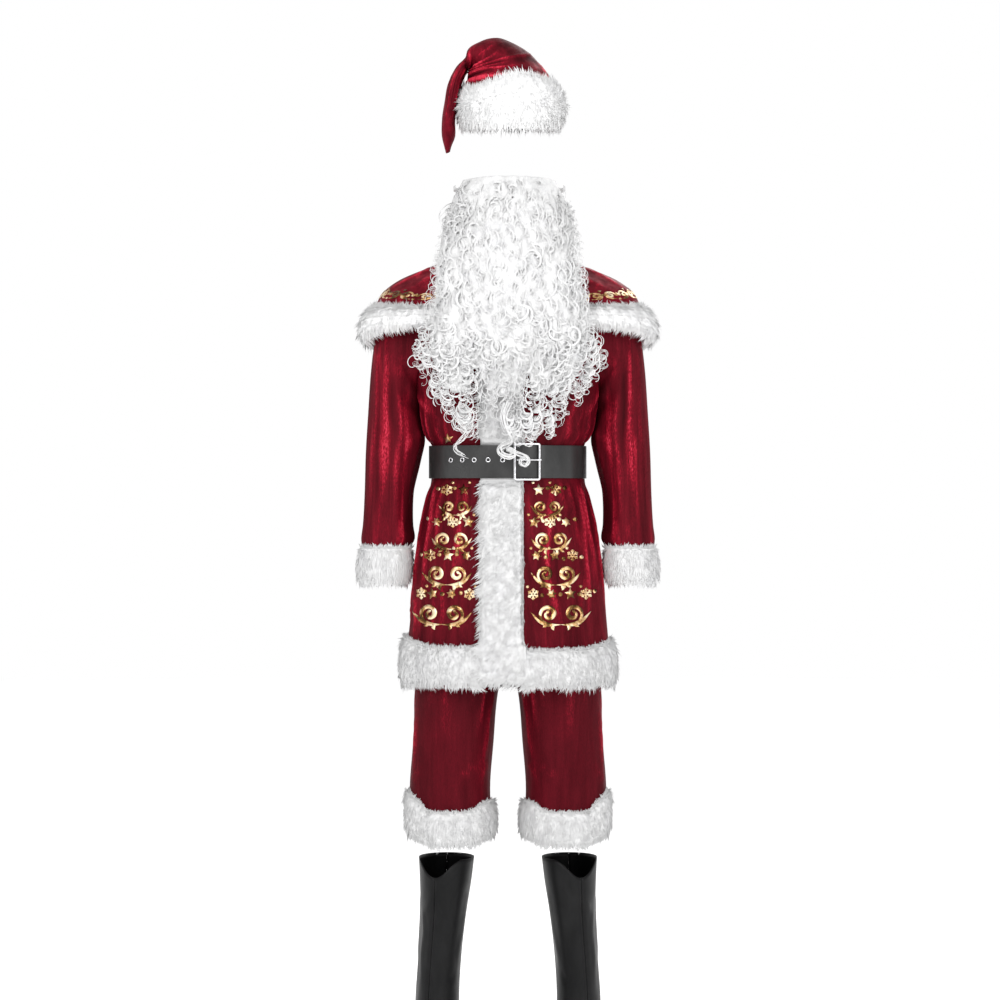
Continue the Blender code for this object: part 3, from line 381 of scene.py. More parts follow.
def leg(angle, height):
    """The outside of the right trouser half: angle 0 at its front, a quarter turn at its outer side."""
    now = LEG.metres(height / MM)
    fold = LEG_FOLD * np.clip((-height - LEG_FOLDS_BELOW) / 0.1, 0, 1) * (folds(angle, LEG_FOLDS) - 0.4)
    fold = fold * np.clip(1 + np.sin(angle), 0, 1)
    x = now.centre + (now.width + fold) * np.sin(angle)
    y = now.back - (now.depth + fold) * np.cos(angle)
    return np.stack([x, y, height], axis=-1)


def leg_inner_angle(height):
    """How far round the front the right half goes before it meets the centre seam or its inseam."""
    centre = LEG("centre", height / MM)
    return -np.arcsin(np.clip((centre - HALF_SEAM / MM) / LEG("width", height / MM), -1, 1))


def boot(angle, height):
    """The outside of the right boot cover: angle 0 at its front, a quarter turn at its outer side."""
    now = BOOT.metres(height / MM)
    depth = (now.rear - now.front) / 2
    x, y = section(angle, (now.outer - now.inner) / 2, depth, depth, BOOT_POWER)
    return np.stack([x + (now.outer + now.inner) / 2, y + (now.front + now.rear) / 2, height], axis=-1)


def hat(angle, run):
    """The outside of the hat's crown: angle 0 at its front, a quarter turn at its right or outer line."""
    now = HAT.metres(run)
    share = (1 + np.sin(angle)) / 2
    x = now.inner_x + (now.outer_x - now.inner_x) * share
    z = now.inner_z + (now.outer_z - now.inner_z) * share
    return np.stack([x, -now.depth * np.cos(angle), z], axis=-1)


def normals(surface, u, v):
    """Unit normals of a surface function, on the side of the cross product of its two directions."""
    along = surface(u + STEP, v) - surface(u - STEP, v)
    up = surface(u, v + STEP) - surface(u, v - STEP)
    found = np.cross(along, up)
    return found / np.maximum(np.linalg.norm(found, axis=-1, keepdims=True), 1e-20)


def both_sides(surface):
    """A right-hand surface and its mirror image: side, surface and the sign of its outward normals."""
    def left(u, v):
        return surface(u, v) * np.array([-1, 1, 1])
    return ("right", surface, 1), ("left", left, -1)


def angle_at(surface, x, place):
    """The angle at which the surface's front has this x, at each of these places along it."""
    angle = np.zeros_like(place)
    for _ in range(NEWTON_STEPS):
        error = surface(angle, place)[..., 0] - x
        slope = (surface(angle + STEP, place)[..., 0] - surface(angle - STEP, place)[..., 0]) / (2 * STEP)
        angle = angle - error / slope
    return angle


def side_angle(height, opening):
    """The coat panel's outer edge: the side seam, the armhole's edge, then the shoulder seam."""
    share = np.clip((height - ARMPIT_Z) / (SHOULDER_TIP_Z - ARMPIT_Z), 0, 1)
    seam = half_seam_angle(COAT, height / MM)
    return math.pi / 2 - opening * 2 * np.sqrt(share * (1 - share)) - seam


def half_seam_angle(table, at):
    """Half a seam's gap as an angle at the side of the coat or the cape."""
    return HALF_SEAM / (MM * table("front", at) * 0.9)


def cape_limits(part, runs):
    """The first and last angle of a cape panel at each run."""
    gap = half_seam_angle(CAPE, runs)
    side = math.pi / 2
    if part == "left":
        return -side + gap, angle_at(cape, PLACKET_LEFT - CAPE_GAP, runs)
    if part == "right":
        return angle_at(cape, PLACKET_RIGHT + CAPE_GAP, runs), side - gap
    return side + gap, 3 * side - gap


def spread(first, last, count):
    """Columns spread evenly between two edges, one row for each height."""
    share = np.linspace(0, 1, count)[None, :]
    return first[:, None] * (1 - share) + last[:, None] * share


def belt_squeeze(height):
    """The share of its pile that the placket keeps at this height: little where the belt presses on it."""
    off = np.abs(height - BELT_MIDDLE_Z) - (BELT_HALF + PRESSED_MARGIN)
    return PRESSED_SHARE + (1 - PRESSED_SHARE) * np.clip(off / PRESSED_FADE, 0, 1)


def belt_ring(angle, height):
    """The face on which the belt lies: the coat at the belt, straight from top to bottom."""
    points = coat(angle, np.full_like(height, BELT_MIDDLE_Z))
    points[..., 2] = height
    return points


def over_placket(angle):
    """How far the belt stands off the coat where it crosses the flattened placket."""
    half = math.atan2((PLACKET_RIGHT - PLACKET_LEFT) / 2, BELT_DEPTH) * 1.02
    middle = (math.atan2(PLACKET_RIGHT, BELT_DEPTH) + math.atan2(PLACKET_LEFT, BELT_DEPTH)) / 2
    return PLACKET_UNDER_BELT * (1 - smooth((np.abs(turn(angle - middle)) - half) / STRAP_EASE))


def belt_angle_at(x):
    """The angle at which the belt has this x on its front."""
    return float(angle_at(coat, np.array([x]), np.array([BELT_MIDDLE_Z]))[0])


def strap_face(angle, height):
    """The strap's outer face. Its second turn lies a whole turn below zero, on the first: it rises just
    before it meets it."""
    rise = smooth((RISE_START - math.tau - angle) / RISE_SPAN)
    lift = over_placket(angle) + 2 * SEAM + (STRAP + SEAM) * rise
    outward = (lift + STRAP)[..., None] * normals(belt_ring, angle, height)
    return belt_ring(angle, height) + outward


def on_strap(x):
    """A place on the second turn's face at the eyelets' height: point, sideways and outward."""
    angle = np.array(belt_angle_at(x) - math.tau)
    level = np.array(EYELET_Z)
    normal = normals(strap_face, angle, level)
    return strap_face(angle, level), np.array([-normal[1], normal[0], 0.0]), normal


def buckle_places():
    """The buckle's plane on the strap, across both of its bars: corner, sideways, width and outward."""
    left = on_strap(BUCKLE_LEFT_X)[0]
    across = on_strap(BUCKLE_RIGHT_X)[0] - left
    across[2] = 0
    span = np.linalg.norm(across)
    across /= span
    out = np.cross(across, UP)
    origin = left + out * BUCKLE_LIFT
    origin[2] = BELT_MIDDLE_Z
    return origin, across, span, out


# ---------------------------------------------------------------- makers

def relief(angle, place, creases):
    """Height of the creases at these places. Each starts quickly at one (angle, place) and fades slowly
    toward another, measured in millimetres of cloth."""
    radius, length, rows = creases
    total = np.zeros_like(angle)
    for angle_0, place_0, angle_1, place_1, breadth, height, lean in rows:
        along_x = math.radians(angle_1 - angle_0) * radius
        along_y = (place_1 - place_0) * length
        size = math.hypot(along_x, along_y)
        x = turn(angle - math.radians(angle_0)) * radius
        y = (place - place_0) * length
        share = (x * along_x + y * along_y) / size**2
        wander = 0.5 * np.sin(share * 6 + angle_0) + 0.25 * np.sin(share * 15 + angle_1)
        off = (x * along_y - y * along_x) / size / breadth + wander
        ends = between(share, 0, CREASE_START, 1, CREASE_FADE)
        total += height * MM * np.exp(-off**2) * (1 + lean * np.tanh(2 * off)) * ends
    return total


def creased(surface, creases, outward=1):
    """A surface with a set of creases on it, and the function of their height alone."""
    def height(u, v):
        return relief(u, v, creases)

    def shaped(u, v):
        return surface(u, v) + outward * height(u, v)[..., None] * normals(surface, u, v)
    return shaped, height


def finish(piece, look, slot, *nodes):
    """Gives a piece its material and its body, and hides the nodes that it stands for; slot is not used."""
    piece.data.materials.append(look)
    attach(piece, "root")
    if nodes:
        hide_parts(*nodes)


def made(name, points, faces, closed=True):
    """One mesh object of these points and faces; the faces of a closed one are turned outward."""
    mesh = bpy.data.meshes.new(name)
    mesh.from_pydata(np.asarray(points).reshape(-1, 3).tolist(), [], faces)
    mesh.update()
    if closed:
        work = bmesh.new()
        work.from_mesh(mesh)
        bmesh.ops.recalc_face_normals(work, faces=work.faces)
        work.to_mesh(mesh)
        work.free()
    mesh.shade_smooth()
    piece = bpy.data.objects.new(name, mesh)
    bpy.context.scene.collection.objects.link(piece)
    return piece


def painted_light(piece, values):
    """Stores at each corner the creases' height plus any painted shade or highlight of the piece; the velvet
    paints its colour lighter on ridges and darker in troughs from it.
    """
    kept = piece.data.attributes.new("painted_light", "FLOAT", "POINT")
    kept.data.foreach_set("value", np.asarray(values, dtype=np.float32).ravel())


def grid_faces(rows, columns, start=0, rows_close=False, columns_close=True):
    """Quads over a grid of rows x columns corners that begin at index start."""
    row, column = np.meshgrid(np.arange(rows if rows_close else rows - 1),
                              np.arange(columns if columns_close else columns - 1), indexing="ij")
    column = column.ravel()
    after = (column + 1) % columns
    low = start + row.ravel() * columns
    high = start + (row.ravel() + 1) % rows * columns
    return np.stack([low + column, low + after, high + after, high + column], axis=1).tolist()


def cloth(name, surface, height, u, v, thickness=CLOTH, closed=False, inward=1, tone=None):
    """A thin shell under a surface, over grids u and v of its parameters."""
    outside = surface(u, v)
    inside = outside - inward * thickness * normals(surface, u, v)
    rows, columns = u.shape
    count = rows * columns
    faces = grid_faces(rows, columns, 0, False, closed) + grid_faces(rows, columns, count, False, closed)
    corners = np.arange(count).reshape(rows, columns)
    if closed:
        borders = [np.append(ring, ring[0]) for ring in (corners[0], corners[-1])]
    else:
        borders = [corners[0], corners[-1], corners[:, 0], corners[:, -1]]
    for border in borders:
        here, after = border[:-1], border[1:]
        faces += np.stack([here, after, after + count, here + count], axis=1).tolist()
    piece = made(name, np.concatenate([outside.reshape(-1, 3), inside.reshape(-1, 3)]), faces)
    # Painted light: the creases' height plus the piece's painted shade and highlight (tone), kept only for
    # the velvet's colour
    lift = height(u, v).ravel() + (tone(u, v).ravel() if tone else 0)
    painted_light(piece, np.concatenate([lift, lift]))
    return piece


def loft_faces(count, size, closed):
    """Faces through rings of equal size: round a circuit when closed, with flat ends when open."""
    faces = grid_faces(count, size, rows_close=closed)
    if not closed:
        faces += [list(range(size)), list(range((count - 1) * size, count * size))]
    return faces


def loft(name, rings, closed):
    """A piece through rings of points."""
    rings = np.asarray(rings, dtype=float)
    return made(name, rings, loft_faces(*rings.shape[:2], closed))


def waves(u, v, seed):
    """A soft uneven field between about -1 and 1 over two measures of unit wavelength."""
    draw = np.random.default_rng(seed)
    total = np.zeros(np.broadcast(u, v).shape)
    for _ in range(WAVE_COUNT):
        heading = draw.uniform(0, math.tau)
        pace = math.tau * draw.uniform(0.6, 1.5)
        total += np.sin(pace * (u * math.cos(heading) + v * math.sin(heading)) + draw.uniform(0, math.tau))
    return total / math.sqrt(WAVE_COUNT)


def unit(vectors):
    """The same vectors with a length of one."""
    return vectors / np.maximum(np.linalg.norm(vectors, axis=-1, keepdims=True), 1e-9)


def three_ways(side, other):
    """The ways from a hair's middle to the three corners of its section."""
    return [side * math.cos(angle) + other * math.sin(angle) for angle in (0, math.tau / 3, math.tau * 2 / 3)]


def hair_faces(count, rings, tip):
    """Triangles of a number of three-sided hairs of so many rings, each with a tip or a flat end."""
    low = 3 * (rings - 1)
    faces = [(2, 1, 0)]
    for start in range(0, low, 3):
        for corner in range(3):
            after = (corner + 1) % 3
            faces.append((start + corner, start + after, start + 3 + after))
            faces.append((start + corner, start + 3 + after, start + 3 + corner))
    if tip:
        faces += [(low + corner, low + (corner + 1) % 3, low + 3) for corner in range(3)]
    else:
        faces.append((low, low + 1, low + 2))
    size = 3 * rings + tip
    every = (np.arange(count) * size)[:, None, None] + np.array(faces)[None, :, :]
    return every.reshape(-1, 3)


def tufts(root, heading, bend, length, width, steps, draw):
    """Points and faces of tapering tufts, each bent along its length."""
    side = unit(np.cross(heading, unit(draw.normal(size=root.shape))))
    ways = three_ways(side, np.cross(heading, side))
    rings = []
    for step in range(steps):
        share = step / steps
        centre = root + (heading * share + bend * share**2) * length[:, None]
        radius = (width * (1 - share**1.4))[:, None]
        rings += [centre + radius * way for way in ways]
    rings.append(root + (heading + bend) * length[:, None])
    return np.stack(rings, axis=1).reshape(-1, 3), hair_faces(len(root), steps, True)


# Across a band, from its top to its bottom: places, and the share of the pile's height there
PILE = ((0, 0.03, 0.22, 0.5, 0.78, 0.97, 1), (0, 0.45, 0.9, 1, 0.92, 0.5, 0))
CAPE_PILE = ((0, 0.08, 0.25, 0.5, 0.78, 0.95, 1), (0, 0.30, 0.70, 1, 0.95, 0.55, 0))
CUFF_PILE = ((0, 0.06, 0.3, 0.6, 0.88, 1), (0, 0.55, 0.95, 1, 0.75, 0.2))

# Across a band: places, and the way that its nap is combed, +1 toward its bottom
COMBED = ((0, 0.05, 0.16, 1.0), (-0.75, -0.2, 1.0, 1.0))
BRIM_NAP = ((0, 0.10, 0.30, 0.55, 1.0), (-1.1, -1.0, -0.5, 0.5, 1.0))
PLACKET_NAP = ((0, 0.985, 1.0), (0.45, 0.5, 1.2))

PUFFED_SHARE = 0.78
ROOT_SHARE = 0.85 * PUFFED_SHARE
TUFT_WAVE = 30 * MM
PILE_WAVE = 35 * MM
SHORTEST_TUFT = 2.5 * MM
TUFT_GAP = 2e-3
TUFT_SAG = 0.12
END_LEAN = 1.3
RIM_PLACES = (0.015, 0.045, 0.955, 0.985)

# Each kind of tuft: steps along it, its part of all the tufts, its width in millimetres, its share of length
TUFT_KINDS = ((1, 0.84, 1.0, 0.85), (2, 0.16, 1.2, 1.2))

# A plush band unless its piece says otherwise: whether it closes on itself, the nap's way, how steeply tufts
# rise, their lean along it, the parts of them at its rims and its ends, where its ends are, its rows of
# corners above and below, and the share of length that tufts keep at each height
BAND = {"closed": True, "flow": COMBED, "rise": 0.42, "tips": 0.0, "rims": 0.16, "ends": 0.0,
        "end_at": (0.002, 0.998), "rows": 15, "under": 5, "thin": None}


def pile_place(surface, angle_of, top, bottom, height, size, seed, outward=1, pile=PILE):
    """A function of s along a band and t across it that gives the point at a share of its pile. Its top and
    bottom edges are numbers, or functions of s."""
    def place(s, t, share=1.0):
        s, t = np.broadcast_arrays(np.asarray(s, dtype=float), np.asarray(t, dtype=float))
        high = top(s) if callable(top) else top
        low = bottom(s) if callable(bottom) else bottom
        v = high + (low - high) * t
        angle = angle_of(s, v)
        lift = np.interp(t, *pile) * height
        lift = lift * (1 + 0.03 * waves(s * size[0] / PILE_WAVE, t * size[1] / PILE_WAVE, seed))
        return surface(angle, v) + outward * (SEAM + share * lift)[..., None] * normals(surface, angle, v)
    return place


def turned_normals(points, faces):
    """Smooth normals at the corners of a mesh, from its quads."""
    found = np.zeros_like(points)
    quads = np.array([face for face in faces if len(face) == 4])
    across = np.cross(points[quads[:, 2]] - points[quads[:, 0]], points[quads[:, 3]] - points[quads[:, 1]])
    for corner in range(4):
        np.add.at(found, quads[:, corner], across)
    return unit(found)


def scattered(band, count, draw):
    """Places of tufts along and across a band, with more of them at its rims and its ends."""
    s = draw.uniform(0, 1, count)
    t = draw.uniform(0, 1, count)
    at_rim = draw.uniform(0, 1, count) < band.rims
    t = np.where(at_rim, draw.choice(RIM_PLACES, count), t)
    at_end = draw.uniform(0, 1, count) < band.ends
    return np.where(at_end, draw.choice(band.end_at, count), s), t, at_end


def band_axes(place, s, t):
    """Unit directions along a band, across it and up from its cloth."""
    ahead_s, ahead_t = (np.clip(measure + TUFT_GAP, 0, 1) for measure in (s, t))
    back_s, back_t = (np.clip(measure - TUFT_GAP, 0, 1) for measure in (s, t))
    along = unit(place(ahead_s, t, PUFFED_SHARE) - place(back_s, t, PUFFED_SHARE))
    across = unit(place(s, ahead_t, PUFFED_SHARE) - place(s, back_t, PUFFED_SHARE))
    up = unit(np.cross(along, across))
    lifted = place(s, t, 1.0) - place(s, t, 0.0)
    return along, across, np.where(np.sum(up * lifted, axis=-1, keepdims=True) < 0, -up, up)


def tuft_set(place, band, kind, draw):
    """One kind of tuft over a band: points, faces and the normals that they take from the band."""
    steps, part, wide, tall = kind
    count = int(band.count * part)
    s, t, at_end = scattered(band, count, draw)
    along, across, up = band_axes(place, s, t)
    x = s * band.size[0] / TUFT_WAVE
    y = t * band.size[1] / TUFT_WAVE
    way = np.interp(t, *band.flow)
    lean = way * (0.8 + 0.10 * waves(x, y, band.seed + 1))
    aside = band.tips + 0.12 * waves(x, y, band.seed + 2) + 0.15 * draw.normal(size=count)
    aside = np.where(at_end, np.where(s < 0.5, -END_LEAN, END_LEAN), aside)
    stand = band.rise + 0.03 * waves(x * 1.7, y * 1.7, band.seed + 3)
    heading = unit(up * stand[:, None] + across * lean[:, None] + along * aside[:, None])
    bend = across * (0.3 * way)[:, None] + along * (0.25 * waves(x * 1.3, y, band.seed + 4))[:, None]
    bend[:, 2] -= TUFT_SAG
    long = band.length * tall * draw.uniform(0.5, 1.25, count) * (1 + 0.06 * waves(x, y, band.seed + 5))
    long = np.where(at_end & (band.end_at[-1] < 0.5), long * 1.35, long)
    width = MM * wide * draw.uniform(0.7, 1.3, count)
    root = place(s, t, ROOT_SHARE)
    if band.thin:
        long = long * band.thin(root[:, 2])
    keep = long > SHORTEST_TUFT
    corners, faces = tufts(root[keep], heading[keep], bend[keep], long[keep], width[keep], steps, draw)
    soft = unit(up + 0.06 * heading)[keep]
    return corners, faces, np.repeat(soft, len(corners) // keep.sum(), axis=0)


def plush(name, place, look, **how):
    """A plush band: a puffed body and the count of tufts that stand on it, shaded as one soft pile. size is
    its length and breadth in metres, length its tufts'."""
    band = SimpleNamespace(**{**BAND, **how})
    draw = np.random.default_rng(band.seed)
    s = np.linspace(0, 1, band.stations + 1)[:-1] if band.closed else np.linspace(0, 1, band.stations)
    over_s, over_t = np.meshgrid(s, np.linspace(0, 1, band.rows), indexing="ij")
    under_s, under_t = np.meshgrid(s, np.linspace(0.95, 0.05, band.under), indexing="ij")
    rings = np.concatenate([place(over_s, over_t, PUFFED_SHARE), place(under_s, under_t, 0.0)], axis=1)
    faces = loft_faces(*rings.shape[:2], band.closed)
    points = rings.reshape(-1, 3)
    soft = turned_normals(points, faces)
    half = band.stations // 2
    outward = rings[half, band.rows // 2] - place(s[half], 0.5, 0.0)
    if np.dot(soft.reshape(rings.shape)[half, band.rows // 2], outward) < 0:
        faces = [face[::-1] for face in faces]
        soft = -soft
    stacked = [points]
    lit = [soft]
    for kind in TUFT_KINDS:
        corners, sides, light_ways = tuft_set(place, band, kind, draw)
        faces += (sides + sum(len(each) for each in stacked)).tolist()
        stacked.append(corners)
        lit.append(light_ways)
    piece = made(f"{name}_pile", np.concatenate(stacked), faces, closed=False)
    piece.data.normals_split_custom_set_from_vertices(np.concatenate(lit).tolist())
    finish(piece, look, "plush", name)


# ---------------------------------------------------------------- materials

class Look:
    """A node material under construction."""

    def __init__(self, name, roughness, metallic=0.0, specular=0.5):
        self.material = bpy.data.materials.new(name)
        self.material.use_nodes = True
        self.tree = self.material.node_tree
        self.shader = self.tree.nodes["Principled BSDF"]
        self.set("Roughness", roughness)
        self.set("Metallic", metallic)
        self.set("Specular IOR Level", specular)
        self.place = self.tree.nodes.new("ShaderNodeTexCoord").outputs["Object"]

    def set(self, socket, value):
        """Gives a socket of the shader a fixed value."""
        self.shader.inputs[socket].default_value = value

    def link(self, source, target):
        self.tree.links.new(source, target)

    def noise(self, scale, stretch=(1, 1, 1), detail=3.0, roughness=0.55, distortion=0.0):
        """A cloudy field over the piece, in features of about 1 / scale metres."""
        mapping = self.tree.nodes.new("ShaderNodeMapping")
        mapping.inputs["Scale"].default_value = stretch
        self.link(self.place, mapping.inputs["Vector"])
        texture = self.tree.nodes.new("ShaderNodeTexNoise")
        for socket, value in (("Scale", scale), ("Detail", detail), ("Roughness", roughness),
                              ("Distortion", distortion)):
            texture.inputs[socket].default_value = value
        self.link(mapping.outputs["Vector"], texture.inputs["Vector"])
        return texture.outputs["Fac"]

    def math(self, operation, first, second):
        """One arithmetic step on sockets or numbers."""
        node = self.tree.nodes.new("ShaderNodeMath")
        node.operation = operation
        for socket, value in zip(node.inputs, (first, second)):
            if isinstance(value, (int, float)):
                socket.default_value = value
            else:
                self.link(value, socket)
        return node.outputs["Value"]

    def blend(self, first, first_share, second, second_share):
        """The sum of two fields, each times its share."""
        return self.math("ADD", self.math("MULTIPLY", first, first_share),
                         self.math("MULTIPLY", second, second_share))

    def paint(self, socket, source, stops, gain=1.0):
        """Sets a shader socket by a ramp of colours or grey values over a field."""
        node = self.tree.nodes.new("ShaderNodeValToRGB")
        points = node.color_ramp.elements
        while len(points) < len(stops):
            points.new(0.5)
        for point, (at, tone) in zip(points, stops):
            parts = (tone,) * 3 if isinstance(tone, float) else tone
            point.position = at
            point.color = (*(min(gain * part, 1.0) for part in parts), 1)
        self.link(source, node.inputs["Fac"])
        self.link(node.outputs["Color"], self.shader.inputs[socket])

    def attribute(self, name):
        """A field stored at the piece's corners."""
        node = self.tree.nodes.new("ShaderNodeAttribute")
        node.attribute_name = name
        return node.outputs["Fac"]

    def bump(self, *layers):
        """Each layer is (height, strength, distance in metres)."""
        last = None
        for source, strength, distance in layers:
            node = self.tree.nodes.new("ShaderNodeBump")
            node.inputs["Strength"].default_value = strength
            node.inputs["Distance"].default_value = distance
            self.link(source, node.inputs["Height"])
            if last:
                self.link(last, node.inputs["Normal"])
            last = node.outputs["Normal"]
        self.link(last, self.shader.inputs["Normal"])


# Velvet colours from dark to light: the lower stops are the wine red, the upper two are painted sheen
# highlights
WINE_AND_SHEEN_TONES = (
    (0.30, (0.050, 0.0016, 0.0045)), (0.50, (0.108, 0.0030, 0.0090)), (0.64, (0.165, 0.0045, 0.0135)),
    (0.80, (0.380, 0.0100, 0.0280)), (0.97, (0.720, 0.0420, 0.0820)),
)
WHITE_TONES = ((0.32, (0.955, 0.955, 0.965)), (0.5, 0.98), (0.68, 1.0))
# Grey to white of the beard: the greys are painted shade
HAIR_TONES = ((0.38, (0.70, 0.70, 0.71)), (0.47, 0.79), (0.60, 0.85))
SILVER_TONES = ((0.3, (0.58, 0.58, 0.60)), (0.7, (0.86, 0.86, 0.88)))
# Painted reflections of the gold foil, from dark brown through gold to cream
GOLD_TONES = (
    (0.40, (0.10, 0.045, 0.012)), (0.45, (0.36, 0.19, 0.06)), (0.50, (0.80, 0.50, 0.24)),
    (0.58, (1.00, 0.86, 0.58)),
)
CREASE_SHINE = 105.0


def velvet(name, gain, streak=0.10, even=0.0):
    """Crushed velvet over a deep wine red, with painted sheen: streaks of crushed pile painted brighter,
    painted highlights on the crease ridges and painted shade in the troughs.
    """
    look = Look(name, 0.6, specular=0.06)
    # Streaks of crushed pile; their bright end is painted sheen
    streaks = look.noise(60, (1, 1, streak), 5, 0.62, 0.35)
    patches = look.noise(14, (1, 1, 0.45), 3, 0.5, 0.4)
    grain = look.noise(560, (1, 1, 0.35), 2, 0.6)
    sparkle = look.math("ADD", look.math("MULTIPLY", grain, 2.4), -0.35)
    # Painted highlight on the crease ridges and painted shade in the troughs and stored shade lines, broken
    # into glints by the grain
    creases = look.math("MULTIPLY", look.math("MULTIPLY", look.attribute("painted_light"), CREASE_SHINE), sparkle)
    total = look.blend(streaks, 0.80 * (1 - even), patches, 0.30)
    total = look.math("ADD", total, 0.40 * even)
    total = look.math("ADD", total, creases)
    total = look.math("ADD", total, look.math("MULTIPLY", look.math("SUBTRACT", grain, 0.5), 0.24))
    look.paint("Base Color", total, WINE_AND_SHEEN_TONES, gain)
    look.paint("Roughness", streaks, ((0.35, 0.68), (0.65, 0.50)))
    look.set("Sheen Weight", 0.03)
    look.set("Sheen Roughness", 0.35)
    look.set("Sheen Tint", (1.0, 0.10, 0.18, 1))
    look.bump((streaks, 0.40, 0.0014), (grain, 0.25, 0.0004))
    return look.material


def plush_look(name, gain):
    """White plush, faintly mottled."""
    look = Look(name, 0.95, specular=0.04)
    soft = look.noise(30, (1, 1, 1), 4, 0.55)
    fine = look.noise(420, (1, 1, 0.5), 2, 0.5)
    look.paint("Base Color", look.blend(soft, 0.75, fine, 0.25), WHITE_TONES, gain)
    look.bump((fine, 0.2, 0.0006))
    return look.material


def hair_look():
    """Curled white fibre with painted shade in soft swirls."""
    look = Look("curly_hair", 0.6, specular=0.15)
    soft = look.noise(34, (1, 1, 1), 3, 0.5)
    swirl = look.noise(95, (1, 1, 0.7), 4, 0.6, 2.6)
    fine = look.noise(700, (1, 1, 0.4), 2, 0.5)
    look.paint("Base Color", look.blend(soft, 0.4, swirl, 0.6), HAIR_TONES)
    look.bump((swirl, 0.5, 0.0022), (fine, 0.25, 0.0005))
    return look.material


def leather_look(name, dark, worn, grain_scale, roughness, shine):
    """Faux leather: a fine pressed grain, soft wear on its surface and a satin shine."""
    look = Look(name, roughness, specular=shine)
    grain = look.noise(grain_scale, (1, 1, 1), 2, 0.5)
    wear = look.noise(24, (1, 1, 0.5), 5, 0.6, 0.6)
    look.paint("Base Color", wear, ((0.35, dark), (0.7, worn)))
    look.paint("Roughness", wear, ((0.3, roughness + 0.1), (0.7, roughness - 0.08)))
    look.bump((wear, 0.25, 0.001), (grain, 0.35, 0.0003))
    return look.material


def metal_look():
    """Bright silver metal with a faint haze."""
    look = Look("silver_hardware", 0.16, metallic=1.0)
    haze = look.noise(180, (1, 1, 1), 4, 0.6)
    look.paint("Base Color", haze, SILVER_TONES)
    look.paint("Roughness", haze, ((0.3, 0.26), (0.7, 0.12)))
    look.bump((haze, 0.1, 0.0002))
    return look.material


def foil_look():
    """Gold foil pressed on the velvet, with painted reflections: cream highlights and brown dark patches,
    laid out by a noise.
    """
    look = Look("gold_foil", 0.3, metallic=0.85)
    # A noise that places the painted reflections, not the way the foil faces
    turned = look.noise(34, (1, 1, 0.8), 3, 0.5, 1.1)
    crazed = look.noise(900, (1, 1, 1), 3, 0.6)
    look.paint("Base Color", look.blend(turned, 0.85, crazed, 0.15), GOLD_TONES)
    look.paint("Roughness", turned, ((0.4, 0.2), (0.6, 0.42)))
    look.bump((crazed, 0.25, 0.0003))
    return look.material


def elastic_look():
    """Pale ribbed elastic."""
    look = Look("woven_elastic", 0.85, specular=0.2)
    ribs = look.noise(900, (1, 1, 0.2), 2, 0.5)
    look.paint("Base Color", ribs, ((0.35, 0.55), (0.65, 0.78)))
    look.bump((ribs, 0.5, 0.0005))
    return look.material


# One velvet in lighter and darker copies, painted light and shade: brightest on the cape and hat, darker on
# the sleeves, then the coat, darkest on the trousers
VELVET_COAT = velvet("velvet_coat", 0.72)
VELVET_CAPE = velvet("velvet_cape", 1.10, streak=0.3)
VELVET_SLEEVE = velvet("velvet_sleeve", 0.78, streak=0.06)
VELVET_HAT = velvet("velvet_hat", 0.98, streak=0.5)
VELVET_TROUSERS = velvet("velvet_trousers", 0.60, streak=0.12, even=0.55)
# One white plush in copies of different brightness, painted shade and light: darkest on the hem, placket and
# trouser cuffs, lighter on the sleeve cuffs, brightest on the cape edge and hat brim
PLUSH_LOOK = plush_look("plush_pile", 0.72)
BRIM_LOOK = plush_look("plush_brim", 0.97)
CAPE_LOOK = plush_look("plush_cape", 0.96)
CUFF_LOOK = plush_look("plush_cuffs", 0.82)
HAIR_LOOK = hair_look()
BELT_LOOK = leather_look("belt_leather", 0.017, 0.040, 1100, 0.34, 0.40)
BOOT_LOOK = leather_look("boot_leather", (0.0030, 0.0030, 0.0033), (0.0085, 0.0085, 0.009), 700, 0.42, 0.17)
METAL_LOOK = metal_look()
FOIL_LOOK = foil_look()
ELASTIC_LOOK = elastic_look()


# ---------------------------------------------------------------- creases

